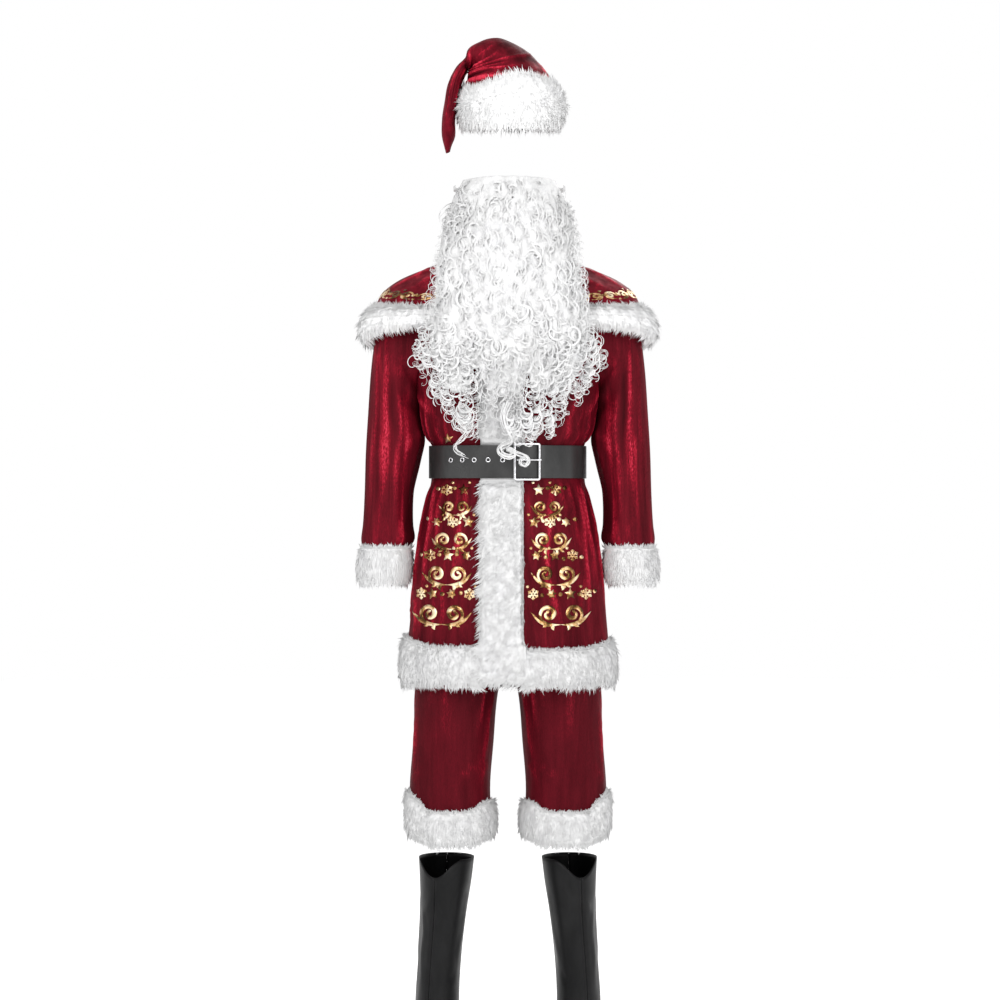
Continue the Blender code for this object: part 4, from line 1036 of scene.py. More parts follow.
# Each set: the radius and the length that one unit of its place has, in millimetres of cloth, then its rows:
# angle and place where a crease starts, angle and place where it ends, half breadth, height, lean
COAT_CREASES = (150, 1000, (
    (-77, -0.378, -74, -0.655, 9, 4.2, 0.4), (-64, -0.378, -60, -0.610, 7, 3.4, -0.3),
    (-54, -0.380, -50, -0.530, 6, 2.6, 0.2), (-46, -0.380, -44, -0.465, 5, 1.8, 0),
    (-38, -0.380, -37, -0.450, 5, 1.6, 0), (-31, -0.378, -33, -0.580, 5, 2.6, 0.5),
    (-70, -0.585, -63, -0.668, 5, 2.4, 0.3), (-61, -0.600, -58, -0.662, 4, 1.9, 0),
    (-50, -0.590, -45, -0.664, 4, 1.7, 0), (-79, -0.560, -71, -0.655, 4, 2.4, 0.3),
    (-40, -0.560, -43, -0.660, 6, 1.8, 0), (77, -0.378, 73, -0.650, 8, 4.0, -0.4),
    (66, -0.378, 61, -0.575, 6, 3.4, 0.3), (59, -0.380, 54, -0.655, 5, 2.8, 0),
    (49, -0.380, 47, -0.510, 5, 2.0, 0), (41, -0.380, 40, -0.455, 4, 1.6, 0),
    (31, -0.380, 25, -0.540, 5, 2.2, 0), (20, -0.480, 36, -0.668, 6, 2.8, 0.5),
    (52, -0.545, 43, -0.660, 5, 2.0, 0), (84, -0.450, 78, -0.662, 6, 2.6, 0.2),
    (-82, -0.316, -76, -0.215, 8, 3.4, 0.2), (-68, -0.316, -61, -0.190, 7, 3.0, 0),
    (-55, -0.316, -53, -0.235, 6, 2.2, 0), (-44, -0.316, -46, -0.220, 5, 1.8, 0),
    (82, -0.316, 76, -0.200, 8, 3.4, -0.2), (68, -0.316, 62, -0.205, 7, 2.8, 0),
    (56, -0.316, 52, -0.225, 6, 2.2, 0), (43, -0.316, 46, -0.210, 5, 1.9, 0),
    (-86, -0.200, -52, -0.270, 8, 2.6, 0.2), (86, -0.200, 54, -0.265, 8, 2.6, -0.2),
    (101, -0.378, 105, -0.640, 8, 4.0, 0.3), (118, -0.378, 116, -0.560, 6, 3.0, 0),
    (128, -0.380, 131, -0.655, 6, 3.2, -0.3), (147, -0.378, 149, -0.600, 7, 3.6, 0.3),
    (158, -0.380, 157, -0.470, 5, 2.0, 0), (172, -0.378, 175, -0.650, 7, 3.8, 0.2),
    (-172, -0.380, -174, -0.520, 6, 2.4, 0), (-161, -0.378, -158, -0.650, 7, 3.6, -0.2),
    (-150, -0.380, -151, -0.500, 5, 2.2, 0), (-133, -0.378, -136, -0.640, 7, 3.8, 0.3),
    (-121, -0.380, -119, -0.540, 6, 2.8, 0), (-102, -0.378, -106, -0.650, 8, 4.0, -0.2),
    (104, -0.316, 110, -0.200, 8, 3.0, 0), (126, -0.316, 124, -0.235, 6, 2.4, 0),
    (143, -0.316, 147, -0.190, 7, 2.8, 0), (163, -0.316, 161, -0.240, 6, 2.2, 0),
    (-176, -0.316, -179, -0.200, 7, 2.8, 0), (-157, -0.316, -154, -0.235, 6, 2.2, 0),
    (-139, -0.316, -143, -0.205, 7, 2.8, 0), (-112, -0.316, -106, -0.215, 8, 3.0, 0),
))
SLEEVE_CREASES = (38, 480, (
    (71, 0.16, 77, 0.97, 4.6, 3.0, 0.3), (112, 0.30, 107, 0.95, 3.8, 2.6, -0.3),
    (46, 0.22, 42, 0.86, 4.5, 1.6, 0), (94, 0.24, 95, 0.70, 5.0, -1.6, 0),
    (140, 0.34, 132, 0.98, 5.5, 2.4, 0.2), (150, 0.46, 108, 0.62, 5.0, 1.7, 0.2),
    (60, 0.55, 84, 0.72, 5.0, 1.4, 0), (20, 0.10, 26, 0.42, 5.5, 1.8, 0), (62, 0.08, 60, 0.24, 4.0, 1.4, 0),
    (108, 0.09, 104, 0.26, 4.0, 1.5, 0), (-22, 0.20, -26, 0.90, 5.5, 2.2, 0.2),
    (-62, 0.14, -58, 0.96, 5.5, 2.7, -0.2), (-98, 0.26, -103, 0.88, 5.0, 2.2, 0.2),
    (-134, 0.30, -128, 0.97, 5.5, 2.4, 0), (-80, 0.48, -112, 0.60, 5.0, 1.7, 0),
    (174, 0.40, 168, 0.96, 5.0, 1.8, 0), (122, 0.86, 116, 0.99, 3.5, 1.6, 0),
    (84, 0.84, 86, 0.99, 3.5, 1.3, 0),
))
CAPE_RADIUS = 170
CAPE_CREASES = (CAPE_RADIUS, 230, (
    (-72, 0.10, -66, 0.80, 8, 2.2, 0.2), (-52, 0.05, -50, 0.70, 7, 1.8, 0),
    (-33, 0.10, -36, 0.75, 7, 1.6, 0), (73, 0.10, 68, 0.80, 8, 2.2, -0.2), (53, 0.05, 50, 0.72, 7, 1.8, 0),
    (30, 0.10, 34, 0.75, 7, 1.6, 0), (-84, 0.30, -60, 0.42, 6, 1.6, 0.2),
    (84, 0.30, 61, 0.44, 6, 1.6, -0.2), (108, 0.12, 113, 0.82, 8, 2.4, 0),
    (131, 0.08, 128, 0.70, 7, 2.0, 0), (150, 0.10, 153, 0.82, 8, 2.6, 0.2),
    (171, 0.06, 169, 0.66, 7, 1.8, 0), (-165, 0.10, -167, 0.82, 8, 2.4, 0),
    (-146, 0.08, -143, 0.72, 7, 2.0, 0), (-123, 0.10, -126, 0.80, 8, 2.6, -0.2),
    (-103, 0.12, -99, 0.64, 7, 1.8, 0),
))
LEG_CREASES = (78, 1000, (
    (-46, -0.690, -36, -0.860, 4.5, 2.8, 0.3), (67, -0.720, 60, -0.945, 3.5, 2.6, 0.2),
    (-28, -0.700, -24, -0.800, 6, 1.8, 0), (-60, -0.740, -48, -0.930, 6, 2.4, 0.2),
    (76, -0.700, 66, -0.900, 3.5, 2.4, -0.2), (84, -0.740, 60, -0.935, 5, 2.4, 0),
    (34, -0.700, 36, -0.800, 6, 1.4, 0), (12, -0.720, 10, -0.860, 7, 1.4, 0),
    (-40, -0.880, -8, -0.920, 5, 1.4, 0), (46, -0.890, 72, -0.920, 5, 1.8, 0),
    (-70, -0.880, -40, -0.925, 5, 1.6, 0), (112, -0.700, 116, -0.930, 8, 3.0, 0.2),
    (140, -0.690, 137, -0.860, 7, 2.4, 0), (163, -0.720, 168, -0.935, 8, 3.0, 0),
    (-150, -0.700, -155, -0.900, 7, 2.6, 0), (-122, -0.710, -118, -0.930, 7, 2.8, 0),
    (128, -0.890, 156, -0.915, 5, 1.6, 0), (20, -0.450, 24, -0.660, 9, 2.4, 0),
    (-20, -0.450, -16, -0.640, 8, 2.0, 0),
))
BOOT_CREASES = (42, 1000, (
    (-30, -1.150, 10, -1.168, 4.5, -1.5, 0.3), (-20, -1.214, 22, -1.200, 4.0, -1.3, 0),
    (-48, -1.262, -4, -1.288, 5.0, -1.7, 0.3), (24, -1.120, 60, -1.180, 4.0, 1.6, 0),
    (60, -1.140, 44, -1.310, 5.0, 2.0, 0.2), (-66, -1.110, -58, -1.290, 5.0, 1.9, 0),
    (-14, -1.330, 34, -1.352, 5.0, -1.9, 0.2), (-54, -1.372, 26, -1.392, 6.0, -2.6, 0.3),
    (-40, -1.420, 48, -1.438, 6.0, -2.8, 0), (-70, -1.395, -20, -1.412, 5.0, 2.0, 0),
    (30, -1.460, -30, -1.478, 5.0, -2.2, 0), (96, -1.120, 110, -1.300, 5.0, 2.0, 0),
    (140, -1.100, 150, -1.260, 5.0, 1.9, 0), (-118, -1.110, -124, -1.300, 5.0, 2.0, 0),
    (-156, -1.130, -160, -1.250, 4.5, 1.6, 0), (100, -1.352, 170, -1.372, 6.0, -2.6, 0.2),
    (-170, -1.392, -104, -1.406, 6.0, -2.6, 0), (112, -1.436, 168, -1.428, 5.0, -2.2, 0),
    (-5, -1.080, -12, -1.190, 6.0, 1.2, 0), (24, -1.040, 24, -1.900, 2.4, -1.3, 0),
))
HAT_CREASES = (78, 600, (
    (-74, 0.262, -6, 0.296, 5.0, 2.6, 0.6), (-84, 0.296, -10, 0.330, 7.0, -3.4, 0.3),
    (-89, 0.726, 86, 0.716, 5.5, -5.5, 0), (-84, 0.690, 82, 0.684, 7.0, 2.6, 0.3),
    (-82, 0.330, 40, 0.345, 8.0, 3.2, -0.4), (-80, 0.440, 6, 0.505, 5.5, 3.0, 0.4),
    (-76, 0.350, 22, 0.400, 5.0, 3.0, 0.6), (-60, 0.455, 34, 0.520, 5.5, 2.8, 0.3),
    (-30, 0.400, 30, 0.425, 5.0, -1.8, 0), (64, 0.260, 70, 0.420, 7.0, 2.6, 0),
    (24, 0.560, -30, 0.620, 5.0, 2.2, 0), (-86, 0.365, -60, 0.520, 5.0, -2.4, 0),
    (-40, 0.700, -30, 0.965, 5.0, 3.0, 0.3), (24, 0.690, 18, 0.975, 5.0, 2.8, -0.3),
    (-8, 0.720, -4, 0.930, 4.0, -2.4, 0), (58, 0.720, 52, 0.900, 4.0, 1.8, 0),
    (-70, 0.740, -62, 0.880, 4.0, 1.8, 0), (-106, 0.250, 140, 0.275, 8.0, 4.2, 0.3),
    (170, 0.330, 110, 0.360, 7.0, 2.8, 0), (-112, 0.400, 178, 0.460, 6.5, 3.2, 0.3),
    (148, 0.470, 110, 0.530, 5.5, 2.4, 0), (-150, 0.700, -156, 0.960, 5.0, 2.8, 0),
    (156, 0.690, 162, 0.960, 5.0, 2.8, 0), (124, 0.300, 118, 0.430, 7.0, 2.0, 0),
))


# ---------------------------------------------------------------- garments

def panel(name, look, cut, held, area, *shape, slot="velvet", **how):
    """One panel of cloth: its shell and its look. The flat size in metres that it was cut to is not used."""
    piece = cloth(name + "_" + slot.split("_")[-1], *shape, **how)
    finish(piece, look, slot, name)


def plain_band(name, rings, look):
    """A flat velvet band round the body, without creases."""
    piece = loft(f"{name}_velvet", rings, True)
    painted_light(piece, np.zeros(len(piece.data.vertices)))
    finish(piece, look, "velvet", name)


def coat_rows():
    """Heights of the coat's corners: closer at the belt, then round the armhole and over the shoulder."""
    skirt = np.linspace(HEM_Z, BELT_BOTTOM_Z - 1 * MM, 62)
    chest = np.linspace(BELT_TOP_Z + 1 * MM, ARMPIT_Z, 22)[:-1]
    armhole_rows = ARMPIT_Z + (SHOULDER_TIP_Z - ARMPIT_Z) * (1 - np.cos(np.linspace(0, math.pi, 16))) / 2
    neck = np.linspace(SHOULDER_TIP_Z, NECK_Z, 9)[1:]
    return np.concatenate([skirt, chest, armhole_rows, neck])


def coat_pieces():
    """Two fronts that meet behind the placket, and the back."""
    shaped, height = creased(coat, COAT_CREASES)
    rows = coat_rows()
    right_seam, left_seam = (angle_at(coat, FRONT_SEAM_X + gap, rows) for gap in (HALF_SEAM, -HALF_SEAM))
    side = side_angle(rows, ARMHOLE_FRONT)
    back = math.pi - side_angle(rows, ARMHOLE_BACK)
    for name, first, last, count, cut, area in (
            ("coat_front_left", -side, left_seam, 54, (0.32, 0.80), 0.190),
            ("coat_front_right", right_seam, side, 47, (0.28, 0.80), 0.165),
            ("coat_back", back, math.tau - back, 74, (0.56, 0.80), 0.362)):
        u = spread(first, last, count)
        v = np.repeat(rows[:, None], count, axis=1)
        panel(name, VELVET_COAT, cut, "gathered", area, shaped, height, u, v)


# How far the sleeve's inner side is pressed toward the coat: runs, millimetres
SLEEVE_PRESS = ((0.03, 0.08, 0.20, 0.30, 0.42, 0.52, 0.72), (0, 8, 12, 12.5, 10.5, 9, 0))
SLEEVE_HOLLOW = 9 * MM


def sleeve_shade(angle, run):
    """Painted light on the sleeve: a painted highlight line down its inner front, and painted shade behind
    that.
    """
    degrees = np.degrees(angle)
    dark = between(degrees, 127, 8, 250, 30) * smooth((run - 0.12) / 0.1)
    line = np.exp(-((degrees - 123 - 2 * np.sin(run * 9)) / 2.4) ** 2) * smooth((run - 0.2) / 0.15)
    return 0.0034 * line - 0.0030 * dark


def sleeve_pieces():
    """Two sleeves, each one cut piece."""
    runs = np.concatenate([np.linspace(0, ARMHOLE_RUN, 9)[:-1], np.linspace(ARMHOLE_RUN, 1.0, 54)])
    v, u = np.meshgrid(runs, circle(60), indexing="ij")
    for side, surface, inward in both_sides(sleeve):
        shaped, height = creased(surface, SLEEVE_CREASES, inward)

        def worn(angle, run, shaped=shaped, inward=inward):
            """The sleeve pressed toward the coat along its inner side, and hollow under it."""
            points = shaped(angle, run)
            inner = smooth((-np.cos(angle) - 0.25) / 0.6)
            points[..., 0] -= inward * MM * inner * np.interp(run, *SLEEVE_PRESS)
            under = between(np.degrees(angle), 112, 22, 262, 40) * between(run, 0.2, 0.15, 0.99, 0.1)
            points[..., 1] += SLEEVE_HOLLOW * under
            return points
        panel(f"sleeve_{side}", VELVET_SLEEVE, (0.34, 0.54), "draped", 0.135, worn, height, u, v,
              closed=True, inward=inward, tone=sleeve_shade)


# The neckband's section: height over the cape's neck, and how far inward, in millimetres
NECKBAND = ((0.6, 0), (12.6, 2), (23.6, 5), (25.6, 6.5), (23.6, 8), (12.6, 5.2), (0.6, 3))


def cape_pieces():
    """Two cape fronts, the cape's back and the neckband on them."""
    shaped, height = creased(cape, CAPE_CREASES, -1)
    runs = np.linspace(0, 1, 34)
    for part, count, cut, area in (
            ("front_left", 32, (0.24, 0.25), 0.037), ("front_right", 34, (0.25, 0.25), 0.040),
            ("back", 76, (0.66, 0.26), 0.112)):
        u = spread(*cape_limits(part.replace("front_", ""), runs), count)
        v = np.repeat(runs[:, None], count, axis=1)
        panel(f"cape_{part}", VELVET_CAPE, cut, "draped", area, shaped, height, u, v, inward=-1)
    foot = cape(circle(96), np.zeros(96))
    inward = -unit(foot * np.array([1, 1, 0]))
    rings = [foot + rise * MM * UP + depth * MM * inward for rise, depth in NECKBAND]
    plain_band("neckband", np.stack(rings, axis=1), VELVET_COAT)


# The waistband's section: height over the trousers' waist, and how far outward, in millimetres
WAISTBAND = ((0.3, 0), (29, 0), (30.3, -1), (30.3, -2), (29, -3), (0.3, -3))


def trouser_pieces():
    """A front and a back to each leg, drawn up with the cuffs' lower edge, and the waistband."""
    rows = np.linspace(TROUSER_END_Z, WAIST_Z, 62)
    count = 34
    gap = HALF_SEAM / (80 * MM)
    quarter = math.pi / 2 - gap
    front = spread(np.maximum(leg_inner_angle(rows), -quarter), np.full_like(rows, quarter), count)
    v = np.repeat(rows[:, None], count, axis=1)
    for side, surface, inward in both_sides(leg):
        shaped, height = creased(surface, LEG_CREASES, inward)
        for part, u in (("front", front), ("back", math.pi - front)):
            drawn_up = cuff_bottom(u / math.tau) - CUFF_LOW
            raised = v + drawn_up * smooth((TROUSER_END_Z + 60 * MM - v) / (60 * MM))
            panel(f"trouser_{part}_{side}", VELVET_TROUSERS, (0.30, 0.68), "draped", 0.152, shaped, height,
                  u, raised, inward=inward)
    angles = circle(96)
    level = np.full_like(angles, WAIST_Z)
    rings = []
    for height, depth in WAISTBAND:
        points = leg(angles, level) + depth * MM * normals(leg, angles, level)
        points[:, 2] = WAIST_Z + height * MM
        rings.append(points)
    plain_band("waistband", np.stack(rings, axis=1), VELVET_TROUSERS)


def boot_pieces():
    """An outer and an inner shaft panel to each boot cover, with a notch in the upper edge."""
    rows = np.linspace(BOOT_BOTTOM_Z, BOOT_TOP_Z, 66)
    gap = HALF_SEAM / (38 * MM)
    for side, surface, inward in both_sides(boot):
        shaped, height = creased(surface, BOOT_CREASES, inward)
        for part, first, last, count, area in (
                ("outer", BOOT_SEAM + gap, math.pi - 0.1 * gap, 30, 0.082),
                ("inner", math.pi + 0.1 * gap, math.tau + BOOT_SEAM - gap, 38, 0.103)):
            u = np.repeat(np.linspace(first, last, count)[None, :], len(rows), axis=0)
            from_seam = np.abs(turn(u - BOOT_SEAM)) / math.radians(60)
            dip = BOOT_NOTCH * 0.5 * (1 + np.cos(math.pi * np.clip(from_seam, 0, 1)))
            rise = np.clip((rows - BOOT_NOTCH_LOW_Z) / (BOOT_TOP_Z - BOOT_NOTCH_LOW_Z), 0, 1)[:, None]
            panel(f"boot_{part}_{side}", BOOT_LOOK, (0.25, 0.50), "draped", area, shaped, height, u,
                  rows[:, None] - dip * rise, slot="boot_leather", inward=inward)


def hat_shade(angle, run):
    """Painted shade on the crown: a darker plane at its right and a darker line in the hollow of the fold."""
    degrees = np.degrees(angle)
    plane = smooth((degrees - 6 - (run - 0.40) * 120) / 10) * between(run, 0.36, 0.03, 0.60, 0.05)
    hollow = np.exp(-((degrees + 66 + (run - 0.6) * 60) / 7) ** 2) * between(run, 0.50, 0.05, 0.72, 0.04)
    return -0.0022 * plane * (np.cos(angle) > -0.2) - 0.0034 * hollow


def hat_pieces():
    """The crown's two halves."""
    shaped, height = creased(hat, HAT_CREASES)
    runs = np.concatenate([np.linspace(0.06, 0.24, 6)[:-1], np.linspace(0.24, 0.96, 70)[:-1],
                           np.linspace(0.96, 0.995, 6)])
    quarter = math.pi / 2 - 0.002
    for part, middle in (("front", 0.0), ("back", math.pi)):
        v, u = np.meshgrid(runs, np.linspace(middle - quarter, middle + quarter, 36), indexing="ij")
        panel(f"hat_crown_{part}", VELVET_HAT, (0.29, 0.55), "folded", 0.062, shaped, height, u, v,
              thickness=HAT_CLOTH, tone=hat_shade)


# ---------------------------------------------------------------- plush

HEM_LEVELS = np.linspace(HEM_TRIM_BOTTOM_Z - 1 * MM, HEM_TRIM_TOP_Z + 1 * MM, 12)
HEM_RIGHT = angle_at(coat, PLACKET_RIGHT + PLACKET_GAP, HEM_LEVELS)
HEM_LEFT = angle_at(coat, PLACKET_LEFT - PLACKET_GAP, HEM_LEVELS)


def hem_angle(s, v):
    """The hem trim's angle, from the placket's right edge round the back to its left edge."""
    first = np.interp(v, HEM_LEVELS, HEM_RIGHT)
    last = np.interp(v, HEM_LEVELS, HEM_LEFT) + math.tau
    return first + (last - first) * s


def hem_top(s):
    """The hem trim's upper edge hangs lower beside the placket."""
    angle = turn(hem_angle(s, np.full(np.shape(s), -0.7)))
    front = np.where(angle > 0, -677, -673)
    side = np.where(angle > 0, -663, -657)
    return MM * (front + (side - front) * smooth((np.abs(angle) - 0.7) / 0.8))


def hem_bottom(s):
    """The hem trim's lower edge is faintly uneven."""
    return MM * (-743 + 3.0 * waves(s * 16, s * 3, 17))


def round_angle(s, v):
    """The angle of a band that closes on itself."""
    return math.tau * s


def cuff_top(s):
    """The trouser cuff's upper edge: low at its front, high at its outer side."""
    sine = np.sin(math.tau * s)
    outer = 9 * smooth((sine - 0.55) / 0.06) + 25 * np.clip((sine - 0.62) / 0.36, 0, 1)
    return MM * (-969 + outer + 15 * smooth((-sine - 0.35) / 0.55))


CUFF_LOW = -1031 * MM


def cuff_bottom(s):
    """The trouser cuff's lower edge: low at its front, drawn up at its sides and behind."""
    sides = smooth((np.abs(np.sin(math.tau * s)) - 0.4) / 0.6)
    return CUFF_LOW + MM * (13 * sides + 5 * smooth(-np.cos(math.tau * s) * 1.4))


# The hat brim's upper edge: degrees round the head, run on the crown
BRIM_EDGE = ((-180, -90, -56, -36, -16, 11, 35, 55, 90, 180),
             (0.245, 0.236, 0.205, 0.212, 0.240, 0.272, 0.254, 0.238, 0.236, 0.245))


def brim_top(s):
    return np.interp(np.degrees(turn(math.tau * s)), *BRIM_EDGE)


BRIM_BAND = pile_place(hat, round_angle, brim_top, -0.002, BRIM_PLUSH, (0.62, 0.11), 15)


def brim_place(s, t, share=1.0):
    """The brim's lower edge sits low over the brow and a little higher behind."""
    points = BRIM_BAND(s, t, share)
    front = np.cos(math.tau * np.asarray(s))
    points[..., 2] += MM * (2.5 - 10.5 * front) * smooth((np.asarray(t) - 0.45) / 0.55)
    return points


def beside_belt(height):
    """How long the placket's tufts stay at this height: none stick through the belt."""
    clear = np.where(height > BELT_MIDDLE_Z, 9 * MM, 2 * MM)
    return smooth((np.abs(height - BELT_MIDDLE_Z) - BELT_HALF - clear) / (8 * MM))


def placket_place(s, t, share=1.0):
    """Across the placket from its left edge (s = 0) to its right, down it from the neck (t = 0)."""
    s, t = np.broadcast_arrays(np.asarray(s, dtype=float), np.asarray(t, dtype=float))
    top = 5 * MM
    bottom = HEM_TRIM_BOTTOM_Z + 9 * MM
    height = top + (bottom - top) * t
    across = np.interp(s, (0, 0.02, 0.15, 0.4, 0.7, 0.93, 1.0), (0.1, 0.55, 0.95, 1.0, 0.98, 0.8, 0.1))
    joined = smooth((HEM_TRIM_TOP_Z - 6 * MM - height) / (10 * MM))
    across = across + (1 - across) * joined
    ends = np.clip(np.minimum(t, 1 - t) / 0.02, 0, 1) ** 0.5
    lift = PLACKET_PILE * belt_squeeze(height) * across * ends
    lift = lift * (1 + 0.12 * waves(s * 2.2, t * 22, 16))
    x = PLACKET_LEFT + (PLACKET_RIGHT - PLACKET_LEFT) * s + 3 * MM * joined * (2 * s - 1) ** 3
    angle = angle_at(coat, x, height)
    return coat(angle, height) + (SEAM + share * lift)[..., None] * normals(coat, angle, height)


def cape_trims():
    """The cape's edge in three parts, rounded off at the placket."""
    for part, count, length in (("left", 5600, 0.33), ("right", 6000, 0.36), ("back", 9000, 0.75)):
        def angle(s, v, part=part):
            first, last = cape_limits(part, v)
            return first + (last - first) * s

        def bottom(s, part=part):
            from_front = {"left": s, "right": 1 - s, "back": np.zeros_like(s)}[part]
            return 1.118 - 0.070 * smooth((from_front - 0.05) / 0.4)
        size = (length, 0.09)
        place = pile_place(cape, angle, CAPE_TRIM_TOP + 0.012, bottom, CAPE_PLUSH, size, 12, -1, CAPE_PILE)
        plush(f"cape_trim_{part}", place, CAPE_LOOK, closed=False, count=count, size=size,
              stations=int(length * 160), length=11 * MM, seed=22, ends=0.02)


def plush_pieces():
    """Hem, cape edge, cuffs, hat brim and placket."""
    size = (1.05, 0.1)
    place = pile_place(coat, hem_angle, hem_top, hem_bottom, PLUSH, size, 11)
    plush("hem_trim", place, PLUSH_LOOK, closed=False, count=15500, size=size, stations=150, length=10 * MM,
          seed=21, ends=0.05, end_at=(0.001, 0.006, 0.994, 0.999))
    cape_trims()
    for side, surface, way in reversed(both_sides(leg)):
        size = (0.48, 0.1)
        place = pile_place(surface, round_angle, cuff_top, cuff_bottom, 12 * MM, size, 13, way)
        plush(f"trouser_cuff_{side}", place, PLUSH_LOOK, count=7000, size=size, stations=80, length=9 * MM,
              seed=23)
    for side, surface, way in reversed(both_sides(sleeve)):
        size = (0.3, 0.08)
        place = pile_place(surface, round_angle, 1.0022, 1.272, 8.5 * MM, size, 14, way, CUFF_PILE)
        plush(f"cuff_{side}", place, CUFF_LOOK, count=5600, size=size, stations=64, length=9 * MM, seed=24)
    plush("hat_brim", brim_place, BRIM_LOOK, count=10500, size=(0.62, 0.11), stations=100, length=11 * MM,
          seed=25, flow=BRIM_NAP, rise=0.5)
    plush("placket", placket_place, PLUSH_LOOK, closed=False, count=11500, size=(0.078, 0.78), stations=24,
          length=11 * MM, seed=26, flow=PLACKET_NAP, tips=-0.7, rows=90, rims=0.01, ends=0.12,
          end_at=(0.002, 0.012, 0.03), under=24, thin=beside_belt)


# ---------------------------------------------------------------- beard

# Regions of hair. Each row: height, left and right edge, in millimetres
MASSES = {
    "upper": ((158, -80, 84), (130, -96, 98), (90, -112, 116), (50, -118, 118), (20, -122, 116),
              (-10, -125, 125), (-60, -127, 128), (-100, -134, 134), (-130, -138, 138), (-150, -136, 140),
              (-172, -122, 126), (-184, -94, 98)),
    "left": ((-150, -140, -56), (-180, -128, -60), (-205, -112, -64), (-226, -98, -70)),
    "right": ((-150, 30, 142), (-180, 33, 130), (-205, 38, 112), (-226, 46, 94)),
    "middle": ((-150, -64, 40), (-180, -54, 36), (-205, -44, 30), (-230, -30, 20)),
}
MASS_THICKNESS = {"upper": 24 * MM, "left": 13 * MM, "right": 13 * MM, "middle": 8 * MM}
LOBE_LEFT = ((-120, -150, -50), (-165, -166, -48), (-200, -140, -50), (-236, -116, -54), (-262, -90, -62))
LOBE_RIGHT = ((-120, 28, 150), (-165, 24, 168), (-200, 24, 140), (-236, 26, 112), (-262, 30, 84))
LOBE_MIDDLE = ((-130, -60, 40), (-170, -52, 34), (-206, -40, 24))
END_LEFT = ((-262, -92, -66), (-284, -84, -68))
END_RIGHT = ((-258, 34, 84), (-280, 30, 60))
END_MIDDLE = ((-4, -264), (8, -272), (22, -276), (14, -262), (30, -268), (26, -258), (4, -256))
UPPER = ((154, -84, 88), (90, -106, 112), (20, -116, 122), (-60, -122, 126))
LOWER = ((-50, -122, 126), (-110, -140, 142), (-150, -146, 148))
BELOW = ((-150, -46, 26), (-240, -44, 24))

# Ways of two single locks, in millimetres: x and z
LOOP_PATH = ((0, -243), (-10, -266), (-3, -290), (12, -308), (-3, -314), (-18, -319), (-17, -332), (0, -342),
             (14, -338), (8, -325), (-8, -320), (14, -330), (32, -334), (39, -346), (31, -357), (20, -353),
             (20, -342), (28, -337))
LOCK_PATH = ((-97, -258), (-84, -276), (-71, -294), (-82, -308), (-96, -317), (-88, -327), (-76, -335))

HAIR_INSET = 2.0 * MM

# In millimetres: where the face is read, its lumps, and how a lock lies on it
BEARD_TOP = 160
BEARD_BOTTOM = -320
WIDTH_BOTTOM = -200
LUMP = 2.4
ROOT_SCATTER = 1.1
MEANDER = 3.0
LOCK_INSET = 4.0
DEEPEST = 10
FARTHEST = 9
STRAY_LIMIT = 11
HALF_BREADTH = 140


def beard_front(x, z):
    """The y of the beard's face at these places, in metres."""
    at = z / MM
    left, right = (BEARD(name, np.maximum(at, WIDTH_BOTTOM)) for name in ("left", "right"))
    side = np.clip((2 * x / MM - left - right) / (right - left), -1.03, 1.03)
    front = BEARD("front", at) + LUMP * waves(x / 0.027, z / 0.034, 60)
    return MM * (front + BEARD("wrap", at) * np.abs(side) ** 2.6)


def beard_facing(x, z):
    """The way the beard's face looks at these places."""
    step = 2 * MM
    slope_x = (beard_front(x + step, z) - beard_front(x - step, z)) / (2 * step)
    slope_z = (beard_front(x, z + step) - beard_front(x, z - step)) / (2 * step)
    return unit(np.stack([slope_x, -np.ones_like(x), slope_z], axis=-1))


def region_edges(rows, z):
    """The left and right edge of a region at these heights."""
    at, left, right = np.array(sorted(rows), dtype=float).T
    return np.interp(z, at, left), np.interp(z, at, right)


def hair_mass(part):
    """One closed mass of hair, that the strands lie on."""
    rows = MASSES[part]
    thick = MASS_THICKNESS[part]
    top, bottom = rows[0][0], rows[-1][0]
    heights = np.linspace(top, bottom, int((top - bottom) / 3.2))
    across = np.linspace(0, 1, 56)
    ends = np.sqrt(np.clip(1 - np.abs(2 * across - 1) ** 5, 0, 1))
    rings = []
    for z, left, right in zip(heights, *region_edges(rows, heights)):
        x = (left + (right - left) * across) * MM
        level = np.full_like(x, z * MM)
        tip = math.sqrt(max(0.0, min(1.0, (z - bottom + 1) / 26)))
        lumps = 2.6 * MM * waves(x / 0.017, level / 0.022, 31)
        lumps = lumps + 1.3 * MM * waves(x / 0.007, level / 0.010, 32)
        middle = beard_front(x, level) + HAIR_INSET + thick / 2
        front = np.stack([x, middle - (thick / 2 * ends * tip + lumps * ends), level], axis=1)
        back = np.stack([x, middle + thick / 2 * ends * tip, level], axis=1)
        rings.append(np.concatenate([front, back[::-1][1:-1]]))
    finish(loft(f"beard_mass_{part}", rings, False), HAIR_LOOK, "beard_hair", "beard")


def strands(name, path, radius, soft, round_light):
    """Three-sided strands along paths: path is strands x places x 3, radius strands x places. Their light
    comes from the normals soft as much as from their own sides."""
    count, places = path.shape[:2]
    along = unit(np.gradient(path, axis=1))
    side = unit(np.cross(along, np.array([0.31, 0.87, 0.38])))
    ways = three_ways(side, np.cross(along, side))
    points = np.stack([path + radius[..., None] * way for way in ways], axis=2)
    lit = np.stack([unit(soft + round_light * way) for way in ways], axis=2)
    piece = made(name, points, hair_faces(count, places, False).tolist(), closed=False)
    piece.data.normals_split_custom_set_from_vertices(lit.reshape(-1, 3).tolist())
    finish(piece, HAIR_LOOK, "beard_hair", "beard")


